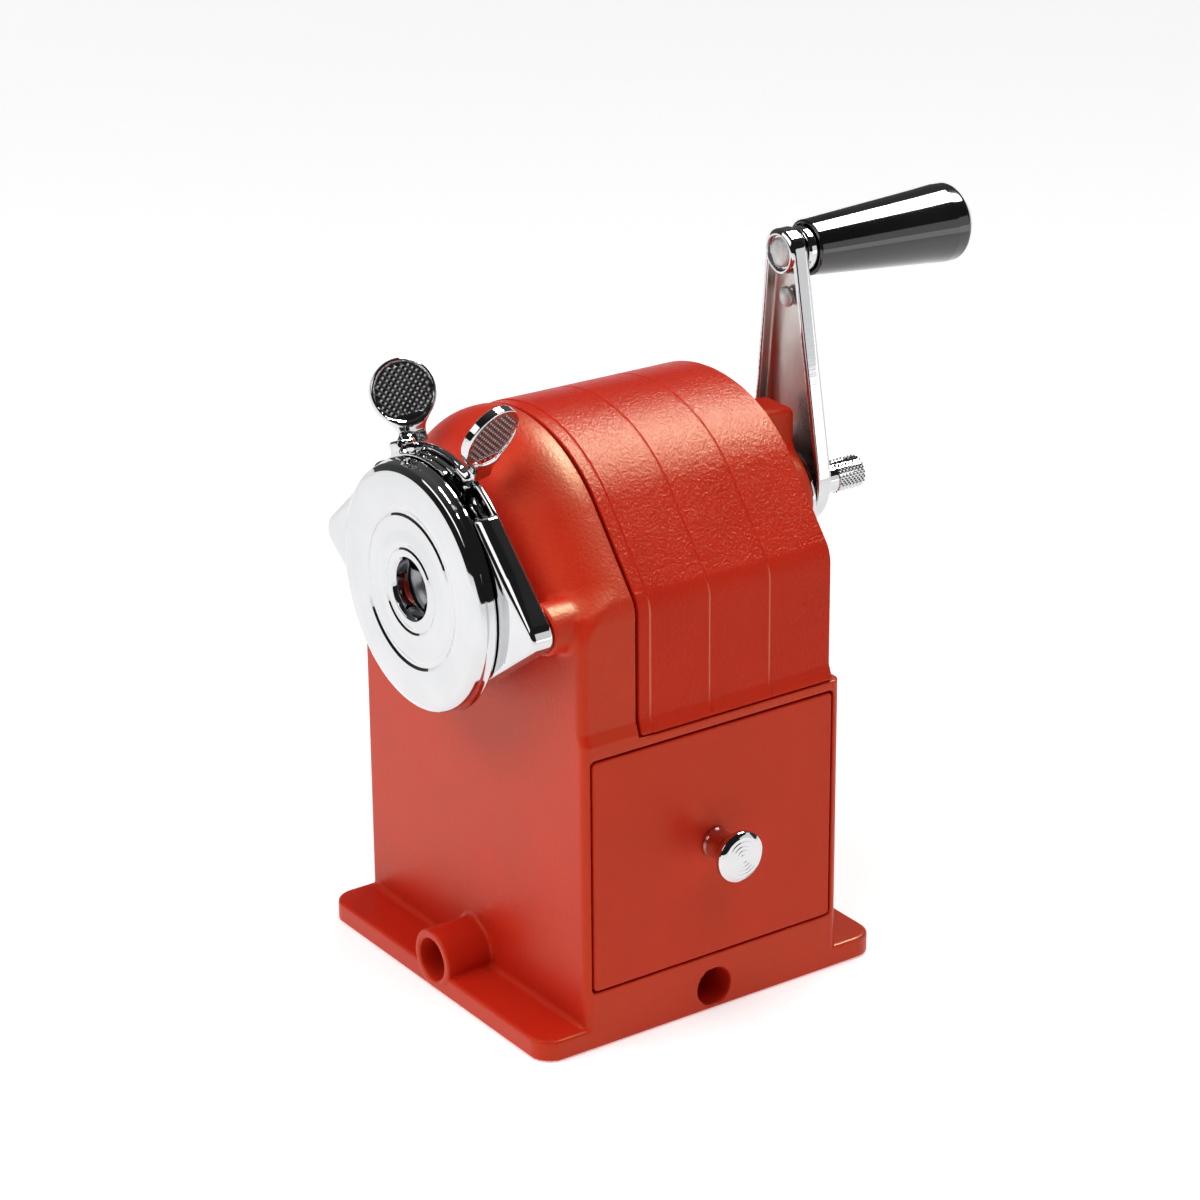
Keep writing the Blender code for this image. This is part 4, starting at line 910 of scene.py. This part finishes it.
def finger_lever(side, hand):
    """A ring in the chuck, an arched strip over the disc's rim, and a neck that turns into a round pad."""
    front = PLATE_LOW.y + (0.2 if side < 0 else 2.0)
    back = front + LEVER_THICK
    twist = side * PAD_TWIST
    c, s = math.cos(twist), math.sin(twist)
    pad_u, pad_v = PAD_Y * s, PAD_Y * c
    frame_matrix = CHUCK @ Matrix.Rotation(side * LEVER_ANGLE, 4, "Y") @ Matrix.Rotation(twist, 4, "Z")

    def field(u, v, w):
        x, y = u * c - v * s, u * s + v * c
        radius = np.hypot(x, w)
        slab = span(y, front, back)
        ring = round_max(span(radius, *RING_R), slab, 0.3)
        along = np.arctan2(x, w) * -side
        strip = np.maximum(span(radius, *STRIP_R), span(along * sum(STRIP_R) / 2, -1.4, 18.4))
        strip = round_max(strip, slab, 0.35)
        stem = round_max(np.maximum(span(x * -side, -0.9, 3.0), span(w, 18.0, 29.0)), slab, 0.3)
        blade_y = PAD_Y - 0.15
        half = 2.85 + 0.3 * smooth_step((w - 31.0) / 3.0)
        blade = round_max(np.abs(v - blade_y * c) - half, np.abs(u - blade_y * s) - 1.0, 0.6)
        blade = np.maximum(blade, span(w, *BLADE_REACH))
        foot = round_max(span(x * -side, -0.9, 3.2), span(y, front, PAD_Y - 1.5), 1.0)
        foot = round_max(foot, span(radius, *FOOT_R), 0.5)
        blade = round_min(blade, foot, 1.6)
        off = np.hypot(v - pad_v, w - PAD_REACH)
        pad = round_max(off - PAD_R, np.abs(u - pad_u) - PAD_HALF, 0.45)
        dish = np.maximum(off - (PAD_R - 0.75), PAD_HALF - 0.3 - np.abs(u - pad_u))
        pad = round_max(pad, -dish, 0.15)
        body = round_min(ring, stem, 0.8)
        body = round_min(body, strip, 0.8)
        body = round_min(body, blade, 1.0)
        return round_min(body, pad, 1.9 * np.clip((off - 5.4) / 1.4, 0.02, 1.0))

    xs = lines(-29.0, 29.0, 0.3, 0.6, [pad_u, 0.0], 2.0)
    ys = lines(-45.5, -26.0, 0.3, 0.5, [pad_v], 8.0)
    zs = lines(-22.5, 46.8, 0.3, 0.6, [26.5, 32.0, 38.8, 44.0], 3.5)
    piece = solid(f"finger_lever_{hand}", field, (xs, ys, zs), CHROME, frame_matrix)
    place(piece, f"finger_lever_{hand}", "chrome", f"lever_{hand}")

    points, faces = pyramids(PAD_R - 0.8, CHEQUER_PITCH, PAD_HALF - 0.33, PAD_HALF - 0.05)
    all_points, all_faces = [], []
    for flip in (0.0, math.pi):
        turn = (frame_matrix @ Matrix.Translation((pad_u, pad_v, PAD_REACH)) @ Matrix.Rotation(flip, 4, "Z")
                @ Matrix.Rotation(math.radians(45.0), 4, "X"))
        all_faces += [[len(all_points) + k for k in face] for face in faces]
        all_points += [turn @ Vector(point) for point in points]
    # the pyramids' sides take the near-black chrome (painted dark reflection), and their tips take the pale
    # chrome (painted glint)
    chequer = mesh_object(f"pad_chequer_{hand}", all_points, all_faces, PAINTED_DARK_CHROME, sharp=10)
    chequer.data.materials.append(PAINTED_GLINT_CHROME)
    tips = [k % PYRAMID_FACES == PYRAMID_FACES - 1 for k in range(len(all_faces))]
    chequer.data.polygons.foreach_set("material_index", tips)
    place(chequer, f"finger_lever_{hand}", "chrome")


def chuck_jaw(number):
    """One of the three jaws: a sector with rounded lips round the pencil."""
    angle = math.radians(90.0 + 120.0 * (number - 1))
    turn = CHUCK @ Matrix.Rotation(-angle, 4, "Y")
    low, high = corners(f"jaw_{number}")
    front, back = low.y - 0.2, high.y
    half = math.radians(50.0)

    def field(x, y, z):
        radius = np.hypot(x, z)
        spread = (np.abs(np.arctan2(z, x)) - half) * radius
        bite = 3.6 + 1.6 * np.clip((front + 1.6 - y) / 1.6, 0.0, 1.0) ** 1.5
        jaw = round_max(bite - radius, radius - 9.0, 0.2)
        jaw = round_max(jaw, spread, 0.35)
        return round_max(jaw, span(y, front, back), 0.3)

    xs = lines(0.0, 9.6, 0.25, 0.3, [5.0])
    ys = lines(front - 0.6, back + 0.5, 0.25, 0.3, [front])
    zs = lines(-8.2, 8.4, 0.25, 0.3, [0.0])
    piece = solid(f"chuck_jaw_{number}", field, (xs, ys, zs), TOOL_STEEL, turn)
    body = ("jaw_top", "jaw_low_left", "jaw_low_right")[number - 1]
    place(piece, body, "tool_steel", f"jaw_{number}")


# ---------------- crank

ARM_LEAN = math.radians(2.7)
ARM = CHUCK @ Matrix.Rotation(-ARM_LEAN, 4, "Y")
ARM_FRONT = 48.9
ARM_BACK = 52.9
ARM_SKIN = 1.3
ARM_LENGTH = 52.3
ARM_HUB_R = 12.0
ARM_HUB_RISE = 4.2
EYE_R = 5.15
RIVET_Z = ARM_LENGTH - 9.8
GRIP_DROOP = math.radians(1.8)
GRIP = (ARM @ Matrix.Translation((0.0, (ARM_FRONT + ARM_BACK) / 2, ARM_LENGTH))
        @ Matrix.Rotation(-GRIP_DROOP, 4, "X"))


def taper(x, z, low_r, low_z, high_r, high_z):
    """A flat outline between two circles of different size, one above the other."""
    rise = high_z - low_z
    b = (low_r - high_r) / rise
    a = math.sqrt(1.0 - b * b)
    side, up = np.abs(x), z - low_z
    k = -b * side + a * up
    low_end = np.hypot(side, up) - low_r
    high_end = np.hypot(side, up - rise) - high_r
    middle = side * a + up * b - low_r
    return np.where(k < 0.0, low_end, np.where(k > a * rise, high_end, middle))


def arm_field(x, y, z):
    """A tapered channel, closed at the front, with an eye at its top."""
    outline = taper(x, z, ARM_HUB_R, ARM_HUB_RISE, EYE_R, ARM_LENGTH)
    arm = round_max(round_max(outline, y - ARM_BACK, 1.4), ARM_FRONT - y, 0.45)
    channel = round_max(outline + ARM_SKIN, y - (ARM_BACK - ARM_SKIN), 0.8)
    arm = round_max(arm, -channel, 0.4)
    eye_off = np.hypot(x, z - ARM_LENGTH)
    eye = round_max(eye_off - (EYE_R - 0.5), span(y, ARM_FRONT - 0.5, ARM_BACK - 0.4), 0.6)
    arm = round_min(arm, eye, 0.5)
    arm = round_max(arm, -np.maximum(eye_off - 3.75, y - ARM_FRONT - 0.35), 0.2)
    arm = np.maximum(arm, -(eye_off - 2.4))
    arm = np.maximum(arm, -(np.hypot(x, z) - 2.7))
    return np.maximum(arm, -(np.hypot(x, z - RIVET_Z) - 1.5))


def crank_channel():
    """The arm is bright chrome outside. Inside its channel it is a darker, warmer, rougher chrome, which is
    painted shade and a painted reflection of the red body.
    """
    xs = lines(-ARM_HUB_R - 0.8, ARM_HUB_R + 0.9, 0.24, 0.26, [0.0], 20.0)
    ys = lines(ARM_FRONT - 1.2, ARM_BACK + 0.7, 0.25, 0.35, [ARM_FRONT, ARM_BACK], 1.0)
    zs = lines(-ARM_HUB_R + ARM_HUB_RISE - 0.8, ARM_LENGTH + EYE_R + 0.8, 0.28, 0.6,
               [-7.5, 0.0, RIVET_Z, ARM_LENGTH - 4.0, ARM_LENGTH + 4.0], 3.0)

    def in_channel(x, y, z):
        outline = taper(x, z, ARM_HUB_R, ARM_HUB_RISE, EYE_R, ARM_LENGTH)
        return (outline < -ARM_SKIN + 0.05) & (y > ARM_FRONT + 0.35) & (y < ARM_BACK - 0.3)

    piece = solid("crank_channel", arm_field, (xs, ys, zs), CHROME, ARM, inside=(CHANNEL_SHADE_CHROME, in_channel))
    place(piece, "crank", "chrome", "crank_arm")


def turned_crank_pieces():
    """The rivet, collar, grip pin, ferrule and grip."""
    back = ARM_BACK - ARM_FRONT
    start = ARM @ Matrix.Translation((0.0, ARM_FRONT, RIVET_Z))
    profile = [(0, 0.6, 0), (1.3, 0.68, 0), (2.2, 1.15, 0.5), (2.2, 1.9, 0.2), (1.2, 1.9, 0),
               (1.2, back + 0.2, 0.2), (0, back + 0.3, 0)]
    piece = turned("channel_rivet", profile, RIVET_STEEL, start, 48)
    place(piece, "crank", "chrome", "arm_rivet")

    end = HUB_HIGH.y
    profile = [(5.3, HUB_LOW.y, 0), (11.6, HUB_LOW.y, 0.35), (11.6, ARM_FRONT - GAP, 0.35),
               (6.1, ARM_FRONT - GAP, 0.2), (6.1, end, 0.3), (5.3, end, 0)]
    piece = turned("hub_collar", profile, CHROME, CHUCK, 96, closed=True)
    place(piece, "crank", "chrome", "crank_hub")

    head = -2.3
    tail = 39.0
    profile = [(0, head - 0.3, 0), (1.6, head - 0.22, 0), (2.7, head + 0.02, 0.5), (3.2, head + 0.35, 0.25),
               (3.2, head + 0.75, 0.1), (2.0, head + 0.75, 0), (2.0, tail, 0.2), (0, tail, 0)]
    piece = turned("grip_pin", profile, RIVET_STEEL, GRIP, 48)
    place(piece, "crank", "steel", "grip_axle")

    start, end = 2.3, 5.6
    profile = [(2.4, start, 0), (4.55, start, 0.25), (4.9, start + 0.5, 0.3), (4.9, end - 0.3, 0.2),
               (5.05, end + 0.2, 0), (2.4, end + 0.2, 0)]
    piece = turned("polished_ferrule", profile, CHROME, GRIP, 96, closed=True)
    place(piece, "grip", "chrome", "grip_ferrule")

    start = 4.4
    end = start + 40.2
    profile = [(2.4, start + 1.6, 0), (5.25, start + 1.6, 0), (5.25, start + 0.1, 0.15), (5.55, start, 0.2),
               (6.0, start + 0.35, 0.4), (6.05, start + 1.4, 0.3), (8.1, end - 9.5, 12.0),
               (8.5, end - 4.8, 3.0),
               (8.5, end - 1.9, 1.4), (6.9, end - 0.15, 1.5), (3.0, end, 2.0), (0, end, 0)]
    piece = turned("turned_grip", profile, BLACK, GRIP, 128, 8)
    place(piece, "grip", "black_gloss", "handle_grip")


KNURL_LENGTH = 7.4
KNURL_DEPTH = 0.32


def knurled_knob():
    """The depth knob: a smooth shank and a head with diamond knurling."""
    end = KNURL_HIGH.y
    knurl_start = end - KNURL_LENGTH
    radius = (KNURL_HIGH.z - KNURL_LOW.z) / 2
    shank = 3.3
    profile = [(0, KNURL_LOW.y, 0), (1.9, KNURL_LOW.y, 0.3), (1.9, ARM_BACK + GAP, 0),
               (shank, ARM_BACK + GAP, 0.3), (shank, knurl_start - 0.3, 0.15),
               (radius - KNURL_DEPTH, knurl_start, 0)]
    piece = turned("depth_knob", profile, CHROME, CHUCK, 96)
    place(piece, "adjuster", "chrome", "adjuster_knob")

    around, rows, quarter = 21, 7, 4
    columns, levels = around * 2 * quarter, rows * 2 * quarter
    low, high = knurl_start + 0.3, end - 0.5
    points = [(0.0, knurl_start, 0.0)] + circle(radius - 0.6, knurl_start, columns)
    for level in range(levels + 1):
        y = low + (high - low) * level / levels
        for i in range(columns):
            a = (i / (2 * quarter) + level / (2 * quarter)) % 1.0
            b = (i / (2 * quarter) - level / (2 * quarter)) % 1.0
            valley = max(abs(a - 0.5), abs(b - 0.5)) * 2
            r = radius - 0.34 * valley ** 1.1
            angle = math.tau * i / columns
            points.append((r * math.sin(angle), y, r * math.cos(angle)))
    points += circle(radius - 0.75, end - 0.1, columns) + [(0.0, end + 0.02, 0.0)]
    starts = range(1, len(points) - 1, columns)
    rings = [range(1)] + [range(start, start + columns) for start in starts]
    rings.append(range(len(points) - 1, len(points)))
    placed = [CHUCK @ Vector(point) for point in points]
    head = mesh_object("knurled_head", placed, skin(rings), CHROME, sharp=24)
    place(head, "adjuster", "chrome")


# ---------------- hardware

def cover_screw(number):
    """A domed screw with a straight slot."""
    low, high = corners(f"rear_cover_screw_{number}")
    cx, cz, seat = (low.x + high.x) / 2, (low.z + high.z) / 2, high.y - 1.5
    slot_angle = math.radians(25.0 + 37.0 * number)

    def field(x, y, z):
        radius = np.hypot(x - cx, z - cz)
        head = np.maximum(np.sqrt(radius ** 2 + (y - seat + 1.6) ** 2) - 3.15, seat - y)
        head = round_max(head, radius - 2.6, 0.25)
        head = round_max(head, y - seat - 1.5, 0.3)
        across = (x - cx) * math.cos(slot_angle) + (z - cz) * math.sin(slot_angle)
        head = round_max(head, -np.maximum(np.abs(across) - 0.35, seat + 0.75 - y), 0.1)
        shank = np.maximum(radius - 1.3, span(y, low.y, seat + 0.4))
        return np.minimum(head, shank)

    xs = lines(cx - 3.0, cx + 3.1, 0.16, 0.2, [cx])
    ys = lines(low.y - 0.4, high.y + 0.5, 0.16, 0.6, [seat, high.y], 0.6)
    zs = lines(cz - 3.0, cz + 3.1, 0.16, 0.2, [cz])
    piece = solid(f"cover_screw_{number}", field, (xs, ys, zs), STEEL, blur=0.03)
    place(piece, "housing", "steel", f"rear_cover_screw_{number}")


# ---------------- build

body_shell()
hood_shell()
rear_wall()
drawer_face()
shavings_tray()
pull_knob()
chuck_disc()
chuck_back()
for side, hand in ((-1, "left"), (1, "right")):
    finger_lever(side, hand)
for number in (1, 2, 3):
    chuck_jaw(number)
crank_channel()
turned_crank_pieces()
knurled_knob()
for number in (1, 2, 3, 4):
    cover_screw(number)

FINISHES = {"red_paint": RED, "chrome": CHROME, "steel": STEEL, "tool_steel": TOOL_STEEL, "bronze": BRONZE,
            "black_gloss": BLACK, "dark_plastic": PLASTIC}
for part in frame["record"]["subparts"]:
    node = frame["nodes"][part["node"]]
    for holder in node.material_slots:
        holder.material = FINISHES[part["material_slot"]]


# ---------------- stage, light and camera

FLOOR_REACH = 3.0  # metres, half the floor's side
FLOOR_Z = -0.0002
FLOOR_GLOW = (0.42, 0.95)  # near and far, so that the floor stays white where the lights don't reach
GLOW_RANGE = (0.5, 1.5)
LOOK_AT = (0.0, 0.0, 0.075)


def stage_floor():
    """A white floor."""
    mesh = bpy.data.meshes.new("floor")
    points = [(a * FLOOR_REACH, b * FLOOR_REACH, FLOOR_Z) for a, b in SQUARE]
    mesh.from_pydata(points, [], [(0, 1, 2, 3)])
    white, pale = (1.0, 1.0, 1.0, 1.0), (0.9, 0.9, 0.9, 1.0)
    nodes = Nodes("floor_white", Base_Color=pale, Roughness=0.9, Emission_Color=white)
    distance = nodes.new("ShaderNodeVectorMath", operation="LENGTH")
    nodes.link(nodes.position, distance.inputs["Vector"])
    glow = nodes.fit(distance.outputs["Value"], *FLOOR_GLOW, *GLOW_RANGE)
    nodes.link(glow, nodes.shader.inputs["Emission Strength"])
    mesh.materials.append(nodes.material)
    floor = new_object("floor", mesh)


def area_light(name, direction, distance, size, power):
    """A softbox that looks at the middle of the object from a direction."""
    towards = Vector(direction).normalized()
    light = bpy.data.lights.new(name, "AREA")
    light.shape = "RECTANGLE"
    light.size, light.size_y = size
    light.energy = power
    lamp = new_object(name, light)
    lamp.location = Vector(LOOK_AT) + towards * distance
    lamp.rotation_euler = (-towards).to_track_quat("-Z", "Y").to_euler()
    return lamp


def gloss_only(*details):
    """A softbox that is only seen as a reflection."""
    area_light(*details).visible_diffuse = False


def soft_only(*details):
    """A softbox that lights surfaces but isn't mirrored in them."""
    area_light(*details).visible_glossy = False


def world_light():
    """A dim studio: nearly black towards the right, grey towards the back left."""
    world = bpy.data.worlds.new("studio")
    bpy.context.scene.world = world
    world.use_nodes = True
    tree = world.node_tree
    background = tree.nodes["Background"]
    coordinate = tree.nodes.new("ShaderNodeTexCoord")
    towards = tree.nodes.new("ShaderNodeVectorMath")
    towards.operation = "DOT_PRODUCT"
    towards.inputs[1].default_value = Vector((-0.8, 0.5, 0.33)).normalized()
    ramp = tree.nodes.new("ShaderNodeValToRGB")
    for element, at, grey in zip(ramp.color_ramp.elements, (0.1, 0.9), (0.015, 0.1)):
        element.position = at
        element.color = (grey, grey, grey, 1.0)
    tree.links.new(coordinate.outputs["Generated"], towards.inputs[0])
    tree.links.new(towards.outputs["Value"], ramp.inputs["Fac"])
    tree.links.new(ramp.outputs["Color"], background.inputs["Color"])
    background.inputs["Strength"].default_value = 1.0


CAMERA_PLACE = (0.61536, -0.42572, 0.39010)
CAMERA_AZIMUTH = 0.96485598
CAMERA_PITCH = 0.39532740
CAMERA_ROLL = -0.00831316
CAMERA_LENS = 116.636


def add_camera():
    """The camera, where the photograph was taken from."""
    data = bpy.data.cameras.new("camera")
    data.lens = CAMERA_LENS
    data.sensor_width = 36.0
    data.clip_start = 0.05
    data.clip_end = 20.0
    camera = new_object("camera", data)
    lean = Matrix.Rotation(math.pi / 2 - CAMERA_PITCH, 4, "X")
    turn = Matrix.Rotation(CAMERA_AZIMUTH, 4, "Z") @ lean @ Matrix.Rotation(CAMERA_ROLL, 4, "Z")
    camera.matrix_world = Matrix.Translation(CAMERA_PLACE) @ turn
    bpy.context.scene.camera = camera


stage_floor()
world_light()
# name, direction from the object, distance, size and power
gloss_only("hood_softbox", (-0.06, 0.53, 0.84), 0.8, (0.46, 0.32), 19.5)
gloss_only("far_card", (0.72, 0.65, 0.15), 0.45, (0.3, 0.24), 0.2)
gloss_only("front_softbox", (-0.2, -0.8, 0.57), 1.0, (0.9, 0.42), 1.9)
soft_only("front", (-0.25, -0.7, 0.68), 1.0, (0.9, 0.42), 4.9)
soft_only("key", (-0.12, 0.53, 0.84), 0.8, (0.5, 0.34), 1.3)
soft_only("overhead", (0.1, -0.1, 1.0), 1.0, (0.5, 0.5), 3.3)
soft_only("right", (0.42, 0.0, 0.9), 1.0, (0.6, 0.6), 2.4)
add_camera()
bpy.context.scene.view_settings.view_transform = "Standard"
